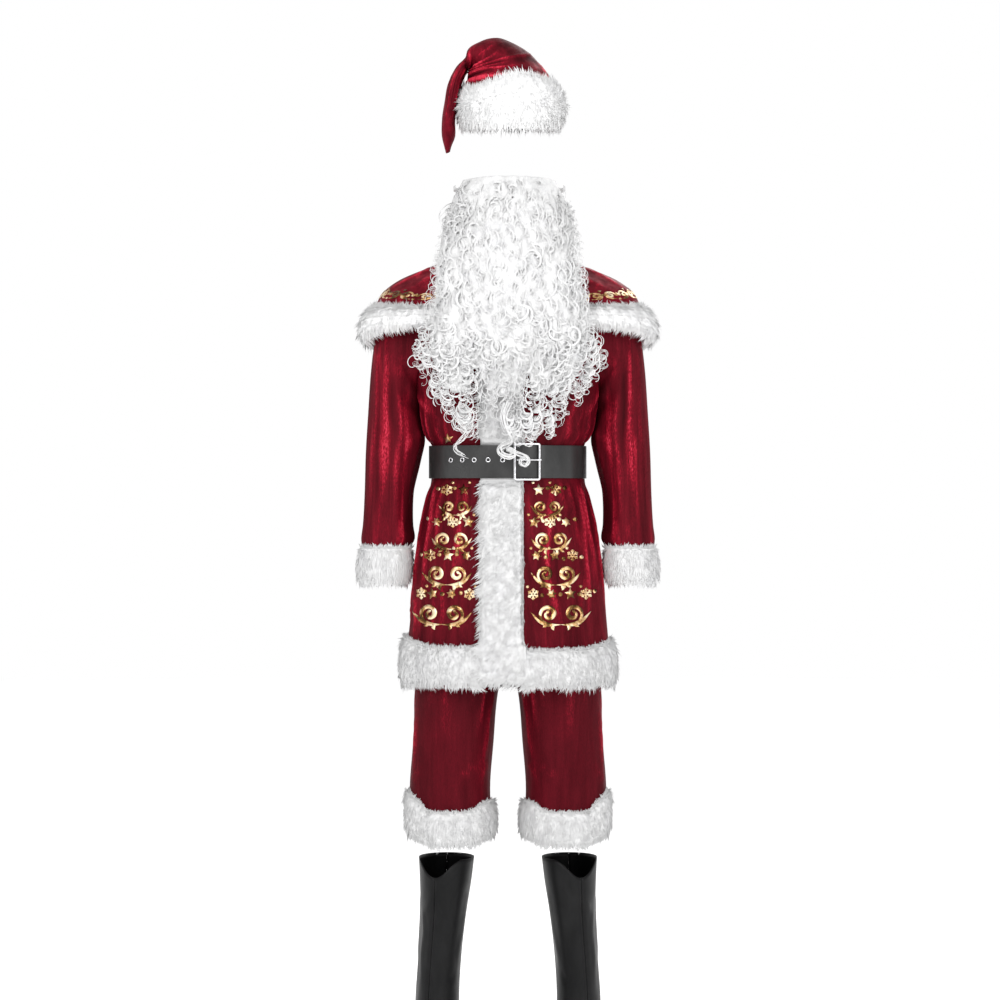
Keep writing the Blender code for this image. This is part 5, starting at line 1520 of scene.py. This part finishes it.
def curls(name, roots, length, radius, ring, pitch, drift_out, places, seed, lift, tilt=0.7, deep=0.75,
          bundle=1, round_light=0.55):
    """Curly locks from roots (x, z in millimetres), each a bundle of strands that falls over the beard's face
    and coils in rings of a radius and a pitch. drift_out is how far it drifts from the middle."""
    draw = np.random.default_rng(seed)
    locks = np.asarray(roots, dtype=float)
    count = len(locks) * bundle
    roots = np.repeat(locks, bundle, axis=0) + (bundle > 1) * draw.normal(size=(count, 2)) * ROOT_SCATTER
    share = np.linspace(0, 1, places)[None, :]

    def each(values, apart):
        """A lock's value for each of its strands, a little apart."""
        return (np.repeat(values, bundle) + (bundle > 1) * apart * draw.normal(size=count))[:, None]

    def drawn(limits):
        """One value for each lock."""
        return draw.uniform(*limits, len(locks))
    long = each(drawn(length), 3.0)
    drift = each(drift_out * locks[:, 0] / HALF_BREADTH + draw.normal(size=len(locks)) * 0.15, 0.02)
    meander = each(drawn((0, math.tau)), 0.1)
    x = roots[:, :1] + long * share * drift + MEANDER * np.sin(share * 3.2 + meander)
    z = roots[:, 1:] - long * share * np.sqrt(np.clip(1 - drift**2, 0.2, 1))
    coil = each(drawn(ring), 0.9) * smooth((share + 0.10) / 0.35)
    turns = long / each(drawn(pitch), 0.3)
    phase = each(drawn((0, math.tau)), 0.16)
    way = np.repeat(draw.choice([-1.0, 1.0], len(locks)), bundle)[:, None]
    swing = phase + way * math.tau * turns * share
    stand = each(drawn(lift), 0.8)
    face = beard_front(x * MM, np.clip(z, BEARD_BOTTOM, BEARD_TOP) * MM) / MM
    x = x + coil * np.sin(swing)
    z = z + coil * tilt * np.cos(swing)
    y = face + LOCK_INSET - stand * smooth(share / 0.2) + coil * deep * np.cos(swing + 0.6)
    level = np.clip(z, BEARD_BOTTOM, BEARD_TOP) * MM
    face = beard_front(x * MM, level) / MM
    y = np.clip(y, face - FARTHEST, face + DEEPEST)
    thick = draw.uniform(*radius, count)[:, None] * (1 - 0.6 * share**2) * MM
    beyond = np.maximum(BEARD("left", z) - x, x - BEARD("right", z)).max(axis=1)
    keep = beyond < STRAY_LIMIT
    path = np.stack([x, y, z], axis=-1)[keep] * MM
    strands(name, path, thick[keep], beard_facing(x * MM, level)[keep], round_light)


def root_field(count, rows, seed):
    """Roots spread over a region."""
    draw = np.random.default_rng(seed)
    z = rows[-1][0] + (rows[0][0] - rows[-1][0]) * draw.uniform(0, 1, count)
    left, right = region_edges(rows, z)
    return np.stack([left + (right - left) * draw.uniform(0, 1, count), z], axis=1)


def edge_roots(count, seed, heights, inset):
    """Roots along both edges of the beard, a little inward."""
    draw = np.random.default_rng(seed)
    z = draw.uniform(*heights, count)
    way = draw.choice([-1.0, 1.0], count)
    edge = np.where(way < 0, BEARD("left", z), BEARD("right", z))
    return np.stack([edge - way * draw.uniform(*inset, count), z], axis=1)


def evened(line):
    """A line whose places are averaged three times with their neighbours."""
    for _ in range(3):
        line[:, 1:-1] = (line[:, :-2] + line[:, 1:-1] + line[:, 2:]) / 3
    return line


def along_path(path, share):
    """Places at these shares of a path of evenly counted stations."""
    return (np.interp(share, np.linspace(0, 1, len(path)), line) for line in zip(*path))


def hanging_loop():
    """The long ringlet at the beard's middle, that hangs over the buckle and ends in a loop."""
    draw = np.random.default_rng(61)
    count = 16
    share = np.linspace(0, 1, 76)[None, :]
    x, z = along_path(LOOP_PATH, share)
    widened = np.linspace(0.45, 1.12, count)[:, None] - 1
    loops = np.interp(share, (0.18, 0.3), (0, 1))
    centre_x, centre_z = (np.interp(share, (0.6, 0.7), middle) for middle in ((-2, 29), (-330, -346)))
    x, z = x + loops * widened * (x - centre_x), z + loops * widened * (z - centre_z)
    apart = np.linspace(-6.5, 6.5, count)[:, None] * (1 - loops)
    phase = draw.uniform(0, math.tau, count)[:, None]
    x = x + apart * np.cos(share * 7) + 1.6 * np.sin(share * 21 + phase)
    z = z + apart * 0.8 * np.sin(share * 7) + 1.5 * np.cos(share * 19 + phase)
    y = beard_front(x * MM, np.clip(z, -300, BEARD_TOP) * MM) / MM - 7 - 3 * np.sin(share * 9 + phase)
    x, z = evened(x), evened(z)
    thick = draw.uniform(0.45, 0.95, count)[:, None] * (1 - 0.5 * share**3) * MM
    soft = beard_facing(x * MM, np.clip(z, -300, BEARD_TOP) * MM)
    strands("beard_loop", np.stack([x, y, z], axis=-1) * MM, thick, soft, 0.5)


def side_lock():
    """The thin lock at the left lobe's end, that lies over the belt's edge."""
    draw = np.random.default_rng(67)
    count = 7
    share = np.linspace(0, 1, 40)[None, :]
    x, z = along_path(LOCK_PATH, share)
    phase = draw.uniform(0, math.tau, count)[:, None]
    apart = np.linspace(-5, 5, count)[:, None]
    x = x + apart * np.cos(share * 6) + 1.8 * np.sin(share * 19 + phase)
    z = z + 0.7 * apart * np.sin(share * 6) - draw.uniform(0, 6, count)[:, None] * share
    level = np.clip(z, -270, BEARD_TOP) * MM
    y = beard_front(x * MM, level) / MM - 5 - 3 * np.sin(share * 9 + phase)
    x = evened(x)
    thick = draw.uniform(0.4, 0.8, count)[:, None] * (1 - 0.5 * share**3) * MM
    strands("beard_lock", np.stack([x, y, z], axis=-1) * MM, thick, beard_facing(x * MM, level), 0.5)


def beard_pieces():
    """Masses, then locks. For each set of locks: name, roots, then in millimetres its length, the strands'
    radius, the coils' radius and pitch; how far it drifts outward, its places and its seed."""
    for part in MASSES:
        hair_mass(part)
    flat = {"deep": 0.22, "round_light": 0.38}
    curls("beard_ringlets", np.concatenate([root_field(90, UPPER, 39), root_field(60, LOWER, 40)]),
          (16, 34), (1.4, 2.6), (6.5, 12.5), (16, 26), 0.10, 26, 38, lift=(1, 4), tilt=0.95, **flat)
    curls("beard_waves_upper", root_field(240, UPPER, 41),
          (50, 95), (0.8, 2.0), (3.0, 7.5), (24, 46), 0.10, 18, 42, lift=(1, 5), **flat)
    curls("beard_waves_lower", root_field(70, LOWER, 43),
          (50, 85), (0.7, 1.3), (4.4, 8.5), (18, 30), 0.12, 24, 44, lift=(0, 6), bundle=3, deep=0.4,
          round_light=0.45)
    curls("beard_waves_middle", root_field(30, LOBE_MIDDLE, 62),
          (34, 62), (0.6, 1.2), (4.0, 8.0), (17, 30), 0.05, 24, 63, lift=(0, 5), bundle=3, deep=0.35,
          round_light=0.4)
    curls("beard_lobes", np.concatenate([root_field(46, LOBE_LEFT, 45), root_field(50, LOBE_RIGHT, 46)]),
          (34, 58), (0.55, 1.25), (4.6, 10.5), (13, 22), -0.22, 26, 47, lift=(0, 10), tilt=0.9, bundle=3)
    rim = [edge_roots(60, 49, (-215, -110), (4, 34)), edge_roots(24, 48, (-110, -20), (6, 22))]
    curls("beard_rings", np.concatenate(rim),
          (20, 42), (0.45, 1.0), (4.0, 9.6), (10, 18), 0.05, 26, 64, lift=(0, 9), tilt=0.95, bundle=2)
    curls("beard_edge", edge_roots(110, 58, (-60, 130), (6, 22)),
          (20, 44), (0.6, 1.3), (3.0, 6.0), (14, 26), 0.04, 20, 59, lift=(0, 4), tilt=0.95, deep=0.5)
    curls("beard_ends", np.concatenate([root_field(8, END_LEFT, 51), root_field(9, END_RIGHT, 52)]),
          (26, 44), (0.6, 1.2), (4.5, 8.5), (10, 16), -0.25, 30, 53, lift=(0, 8), tilt=0.9, bundle=3)
    curls("beard_ringlet", END_MIDDLE,
          (30, 44), (0.7, 1.5), (6.0, 10.0), (13, 18), 0.25, 36, 54, lift=(2, 10), tilt=0.95, bundle=3)
    hanging_loop()
    side_lock()
    loose = [root_field(50, BELOW, 55), edge_roots(60, 56, (-170, 150), (2, 12))]
    curls("beard_wisps", np.concatenate(loose),
          (26, 70), (0.40, 0.65), (4.0, 8.5), (12, 24), 0.12, 26, 57, lift=(0, 9), tilt=0.9)


# ---------------------------------------------------------------- belt

def disc(point, side, angles, radius, out):
    """Points round a place on the strap, raised outward by out."""
    return [point + (side * math.cos(angle) + UP * math.sin(angle)) * radius + out for angle in angles]


def punched(strap):
    """The strap with its eyelet holes cut through its second turn."""
    cutters = []
    for index, x in enumerate(EYELET_X):
        point, side, normal = on_strap(x)
        depths = (-STRAP - SEAM / 2, 2 * MM)
        rings = [disc(point, side, circle(24), HOLE_RADIUS, normal * depth) for depth in depths]
        cutters.append(loft(f"hole_cutter_{index}", rings, False))
        cut = strap.modifiers.new(f"hole_{index}", "BOOLEAN")
        cut.operation = "DIFFERENCE"
        cut.solver = "EXACT"
        cut.object = cutters[-1]
    bpy.context.view_layer.update()
    solved = bpy.data.meshes.new_from_object(strap.evaluated_get(bpy.context.evaluated_depsgraph_get()))
    strap.modifiers.clear()
    strap.data = solved
    for cutter in cutters:
        bpy.data.objects.remove(cutter, do_unlink=True)
    strap.data.shade_smooth()
    strap.data.set_sharp_from_angle(angle=math.radians(40))
    strap.data.materials.clear()
    return strap


def belt_strap():
    """The strap, from under the buckle once round the coat and on past it."""
    stations = np.linspace(belt_angle_at(STRAP_START_X), -math.tau - STRAP_END, 330)
    edge = 0.9 * MM
    rings = []
    low, high = BELT_BOTTOM_Z, BELT_TOP_Z
    for level, depth in (
            (low, 0.65), (low + edge * 0.4, 0.1), (low + edge, 0.0), (STRAP_ROW_Z, 0.0), (high - edge, 0.0),
            (high - edge * 0.4, 0.1), (high, 0.65), (high, 1.95), (high - edge, 2.6), (STRAP_ROW_Z, 2.6),
            (low + edge, 2.6), (low, 1.95)):
        height = np.full_like(stations, level)
        rings.append(strap_face(stations, height) - depth * MM * normals(belt_ring, stations, height))
    strap = loft("belt_strap_leather", np.stack(rings, axis=1), False)
    finish(punched(strap), BELT_LOOK, "belt_leather", "belt_strap")


# An eyelet's section: radius and height over the strap, in millimetres
EYELET = ((2.4, 0.35), (2.5, 0.9), (2.9, 1.3), (3.5, 1.42), (4.1, 1.25), (4.5, 0.85), (4.7, 0.35))


def belt_eyelets():
    """A metal ring in each hole."""
    for index, x in enumerate(EYELET_X, 1):
        point, side, normal = on_strap(x)
        rings = [disc(point, side, circle(40), radius * MM, normal * rise * MM) for radius, rise in EYELET]
        finish(loft(f"belt_eyelet_ring_{index}", np.stack(rings, axis=1), True), METAL_LOOK, "silver_metal",
               f"belt_eyelet_{index}")


def buckle_frame():
    """A rectangular frame of round bar with rounded corners."""
    origin, across, span, out = buckle_places()
    half = BUCKLE_HEIGHT / 2 - BUCKLE_BAR / 2
    corner = 3 * MM
    right, top = span - corner, half - corner
    rings = []
    for x, z, start in ((right, top, 0), (corner, top, 90), (corner, -top, 180), (right, -top, 270)):
        for turned in np.radians(start + np.linspace(0, 90, 9)):
            way = across * math.cos(turned) + UP * math.sin(turned)
            point = origin + across * x + UP * z + way * corner
            rings.append([point + (way * math.cos(a) + out * math.sin(a) * 0.8) * BUCKLE_BAR / 2
                          for a in circle(20)])
    finish(loft("buckle_frame_metal", rings, True), METAL_LOOK, "silver_metal", "buckle_frame")


def buckle_prong():
    """The prong lies on the strap, then on the frame's far bar, and tapers at its tip."""
    origin, across, span, out = buckle_places()
    long = span / MM
    rest = BUCKLE_BAR / 2 * 0.8 / MM + 1.5 + SEAM / MM
    places = (3.4, 8, 18, 30, long - 3, long + 2.2, long + 3.2)
    heights = (0.6, 1.2, 1.5, rest - 1.0, rest, rest - 0.1, rest - 0.1)
    shares = (1.0, 1.0, 1.0, 1.0, 1.0, 0.9, 0.5)
    rings = []
    for place in np.concatenate([np.linspace(3.4, long + 1.5, 26), long + np.array([2.2, 2.8, 3.2])]):
        height = np.interp(place, places, heights)
        share = np.interp(place, places, shares)
        centre = origin + UP * (EYELET_Z - BELT_MIDDLE_Z) + across * place * MM + out * height * MM
        rings.append([centre + (UP * math.cos(a) * 1.6 + out * math.sin(a) * 1.3) * MM * share
                      for a in circle(16)])
    finish(loft("buckle_prong_metal", rings, False), METAL_LOOK, "silver_metal", "buckle_prong")


def kept_nodes():
    """The head elastic and the boot covers' straps keep their solids and get woven elastic."""
    for name in ("beard_elastic", "boot_elastic_left", "boot_elastic_right"):
        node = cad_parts[name]
        for slot in node.material_slots:
            slot.material = ELASTIC_LOOK
        if not node.material_slots:
            node.data.materials.append(ELASTIC_LOOK)


# ---------------------------------------------------------------- gold foil print, in millimetres of cloth

FOIL_FACE = 0.75 * MM
FOIL_BACK = 0.35 * MM
PRINT_EDGE_X = 154
DOT_EDGE_X = 140

# The cape's border: its run down the cape, its step, and the gap behind the placket
BORDER_RUN = 0.70
BORDER_STEP = 58
BORDER_GAP_X = -10
BORDER_GAP = 82


def stroke(path, width):
    """Corners and faces of a flat line of changing width through a path."""
    path = np.asarray(path, dtype=float)
    along = np.gradient(path, axis=0)
    along /= np.linalg.norm(along, axis=1, keepdims=True)
    across = np.stack([-along[:, 1], along[:, 0]], axis=1)
    wide = np.asarray(width)[:, None] / 2
    corners = np.stack([path + across * wide, path, path - across * wide], axis=1).reshape(-1, 2)
    lanes = [low + lane for low in range(0, 3 * len(path) - 3, 3) for lane in (0, 1)]
    return corners, [(low, low + 1, low + 4, low + 3) for low in lanes]


def spiral(x, z, size, turns, start, way, width):
    """A scroll: a line that curls inward to a round end."""
    share = np.linspace(0, 1, int(26 * turns) + 8)
    radius = size * (1 - 0.86 * share)
    angle = math.radians(start) + way * math.tau * turns * share
    path = np.stack([x + radius * np.cos(angle), z + radius * np.sin(angle)], axis=1)
    wide = width * (0.35 + 0.65 * np.sin(math.pi * np.clip(share * 1.15, 0, 1)) ** 0.8)
    wide[-6:] = width * np.array([0.7, 0.95, 1.1, 1.1, 0.95, 0.5])
    return stroke(path, wide)


def scrolls(x, z, apart, size, turns, start, width):
    """A pair of scrolls, each the other's mirror image."""
    return [spiral(x - apart, z, size, turns, 180 - start, -1, width),
            spiral(x + apart, z, size, turns, start, 1, width)]


def arc(x0, z0, x1, z1, bow, width):
    """A leaf-like line from one place to another that bows to one side."""
    share = np.linspace(0, 1, 16)
    line = np.stack([x0 + (x1 - x0) * share, z0 + (z1 - z0) * share], axis=1)
    away = np.array([-(z1 - z0), x1 - x0]) * bow
    path = line + np.sin(math.pi * share)[:, None] * away
    return stroke(path, width * np.clip(np.sin(math.pi * share), 0.08, 1))


def star(x, z, size, points=5, turned=90.0, inner=0.45):
    """A star about its middle; with inner 1 it is round."""
    count = 2 * points
    angles = [math.radians(turned + 180 * place / points) for place in range(count)]
    reach = [size, size * inner] * points
    corners = [(x + r * math.cos(angle), z + r * math.sin(angle)) for r, angle in zip(reach, angles)]
    return np.array([(x, z), *corners]), [(0, 1 + place, 1 + (place + 1) % count) for place in range(count)]


def dot(x, z, size):
    return star(x, z, size, points=9, inner=1.0)


def flake(x, z, size, width):
    """A six-armed snowflake with a pair of side twigs on each arm."""
    parts = []
    share = np.linspace(0.08, 1, 6)[:, None]
    for arm in range(6):
        angle = math.radians(60 * arm + 30)
        way = np.array([math.cos(angle), math.sin(angle)])
        parts.append(stroke(np.array([x, z]) + way * size * share, np.full(6, width)))
        foot = np.array([x, z]) + way * size * 0.55
        for aside in (-0.9, 0.9):
            twig = np.array([math.cos(angle + aside), math.sin(angle + aside)])
            parts.append(stroke(foot + twig * size * 0.36 * share, np.full(6, width * 0.8)))
    return parts


def swag(x0, x1, z, drop, size, width):
    """A garland between two places: bowed lines with scrolls above and leaves below."""
    middle = (x0 + x1) / 2
    parts = [arc(x0, z, middle, z - drop, -0.16, width), arc(middle, z - drop, x1, z, -0.16, width)]
    parts += scrolls(middle, z - drop * 0.15, (x1 - x0) / 2 * 0.42, size, 1.5, -70, width)
    for place, bow in ((0.24, 0.3), (0.40, -0.3), (0.60, 0.3), (0.76, -0.3)):
        foot_x = x0 + (x1 - x0) * place
        foot_z = z - drop * math.sin(math.pi * place)
        parts.append(arc(foot_x, foot_z - 1, foot_x + (place - 0.5) * 18, foot_z - 11, bow, width * 0.9))
    return parts


def foil_shape(corners, sides, onto, start):
    """One flat shape laid on cloth, its corners counted from start: points and faces, with its rim."""
    count = len(corners)
    place, out = onto(corners[:, 0], corners[:, 1])
    points = (place + FOIL_FACE * out).tolist() + (place + FOIL_BACK * out).tolist()
    faces = []
    edges = {}
    for side in sides:
        faces.append([start + corner for corner in side])
        faces.append([start + count + corner for corner in reversed(side)])
        edges.update(dict.fromkeys(zip(side, (*side[1:], side[0]))))
    for a, b in edges:
        if (b, a) not in edges:
            faces.append([start + b, start + a, start + count + a, start + count + b])
    return points, faces


def foil(name, parts, onto):
    """Flat foil shapes laid on cloth: onto maps millimetres to points and normals."""
    points = []
    faces = []
    for corners, sides in parts:
        more_points, more_faces = foil_shape(corners, sides, onto, len(points))
        points += more_points
        faces += more_faces
    finish(made(name, points, faces), FOIL_LOOK, "velvet")


# Rows of the coat's print. Garlands: height, length, drop, scroll size and line width. Small signs between
# them: height and places
GARLANDS = (
    (-424, 58, 17, 10.5, 5.4), (-481, 72, 20, 12.5, 6.2), (-542, 88, 22, 14.5, 7.0),
    (-612, 106, 22, 16.0, 7.6),
)
SIGNS = ((-396, (14, 44)), (-453, (6, 34, 62)), (-512, (10, 42, 74)), (-580, (4, 36, 70, 98)))


def coat_print(side, mirror, seed):
    """Tiers of garlands with stars, flakes and dots between them, from the belt to the hem."""
    shaped, _ = creased(coat, COAT_CREASES)

    def onto(x, z):
        height = z * MM
        angle = angle_at(coat, x * MM * mirror, height)
        return shaped(angle, height), normals(coat, angle, height)
    edge = 40 if side == "right" else 64
    parts = []
    for z, long, drop, size, width in GARLANDS:
        parts += swag(edge, edge + long, z, drop, size, width)
    draw = np.random.default_rng(seed)
    for z, places in SIGNS:
        for index, place in enumerate(places):
            x = min(edge + place, PRINT_EDGE_X)
            kind = (index - z) % 3
            if kind == 0:
                parts.append(star(x, z, 11.0, 5, 90 + draw.uniform(-14, 14)))
            elif kind == 1:
                parts += flake(x, z, 10.5, 3.0)
            else:
                parts.append(star(x, z, 9.0, 6, draw.uniform(0, 60), 0.55))
            lift = draw.uniform(-6, 6)
            if x < DOT_EDGE_X:
                parts.append(dot(x + 16, z + lift, 3.6))
            parts.append(dot(x - 10, z + 13, 2.6))
    if side == "left":
        parts.append(star(106, -305, 9.5, 5, 84))
    foil(f"coat_print_{side}", parts, onto)


def cape_print():
    """A border of scrolls, arcs, stars and dots round the cape, open behind the placket."""
    shaped, _ = creased(cape, CAPE_CREASES, -1)

    def onto(x, z):
        angle = x / CAPE_RADIUS
        run = BORDER_RUN - z / 250
        return shaped(angle, run), -normals(cape, angle, run)
    long = math.tau * CAPE_RADIUS
    parts = []
    for place in range(int(long / BORDER_STEP)):
        x = -long / 2 + (place + 0.5) * BORDER_STEP
        if abs(x - BORDER_GAP_X) < BORDER_GAP:
            continue
        parts += scrolls(x, 5, 13, 11.0, 1.4, -20, 5.6)
        parts += [arc(x - 24, -8, x, 10, -0.22, 5.2), arc(x, 10, x + 24, -8, -0.22, 5.2)]
        parts += [star(x + 29, 6, 7.5, 5, 90), dot(x, 20, 3.2), dot(x + 29, -8, 2.6)]
    foil("cape_print", parts, onto)


# ---------------------------------------------------------------- stage

CAMERA_DISTANCE = 6.0
CAMERA_X = -0.0144
CAMERA_Z = -0.414
PHOTO_WIDTH = 1.8
SENSOR = 36.0
FLOOR_Z = -1.533
FLOOR_RADIUS = 15
FLOOR_GLOW = 0.31
WORLD_LIGHT = 0.74

# Each light: name, place, what it looks at, size, power
LIGHTS = (
    ("key", (-1.9, -5.0, 2.0), (0, 0, -0.45), 2.4, 120),
    ("fill", (2.6, -4.6, 0.6), (0, 0, -0.5), 2.8, 62),
    ("rim", (1.6, 3.8, 2.2), (0, 0, -0.4), 2.4, 80),
)


def light(name, place, toward, size, power):
    """A round soft light."""
    lamp = bpy.data.lights.new(name, "AREA")
    lamp.shape = "DISK"
    lamp.size = size
    lamp.energy = power
    placed = bpy.data.objects.new(name, lamp)
    placed.location = place
    placed.rotation_euler = (Vector(toward) - Vector(place)).to_track_quat("-Z", "Y").to_euler()
    bpy.context.scene.collection.objects.link(placed)


def floor():
    """A wide pale floor that glows a little, so that it meets the white world without an edge."""
    ring = [(FLOOR_RADIUS * math.cos(a), FLOOR_RADIUS * math.sin(a), FLOOR_Z) for a in circle(96)]
    laid = made("floor", ring, [tuple(range(len(ring)))], closed=False)
    pale = Look("pale_floor", 0.9, specular=0.1)
    pale.paint("Base Color", pale.noise(3), ((0.3, 0.93), (0.7, 0.96)))
    pale.set("Emission Color", (1, 1, 1, 1))
    pale.set("Emission Strength", FLOOR_GLOW)
    laid.data.materials.append(pale.material)


def studio():
    """A white world: full white to the camera, softer as light."""
    world = bpy.data.worlds.new("studio")
    world.use_nodes = True
    tree = world.node_tree
    back = tree.nodes["Background"]
    back.inputs["Color"].default_value = (1, 1, 1, 1)
    seen = tree.nodes.new("ShaderNodeLightPath").outputs["Is Camera Ray"]
    strength = tree.nodes.new("ShaderNodeMapRange")
    strength.inputs["To Min"].default_value = WORLD_LIGHT
    strength.inputs["To Max"].default_value = 1.0
    tree.links.new(seen, strength.inputs["Value"])
    tree.links.new(strength.outputs["Result"], back.inputs["Strength"])
    bpy.context.scene.world = world


def camera():
    """A level camera, so far off and of such a lens that it frames the photo's width at the figure."""
    lens = bpy.data.cameras.new("camera")
    lens.sensor_width = SENSOR
    lens.lens = SENSOR * CAMERA_DISTANCE / PHOTO_WIDTH
    lens.clip_end = 100
    placed = bpy.data.objects.new("camera", lens)
    placed.location = (CAMERA_X, -CAMERA_DISTANCE, CAMERA_Z)
    placed.rotation_euler = (math.pi / 2, 0, 0)
    bpy.context.scene.collection.objects.link(placed)
    bpy.context.scene.camera = placed


coat_pieces()
sleeve_pieces()
cape_pieces()
trouser_pieces()
boot_pieces()
hat_pieces()
plush_pieces()
beard_pieces()
belt_strap()
belt_eyelets()
buckle_frame()
buckle_prong()
kept_nodes()
coat_print("left", -1, 61)
coat_print("right", 1, 62)
cape_print()

floor()
studio()
for hung in LIGHTS:
    light(*hung)
bpy.context.scene.view_settings.view_transform = "Standard"
camera()
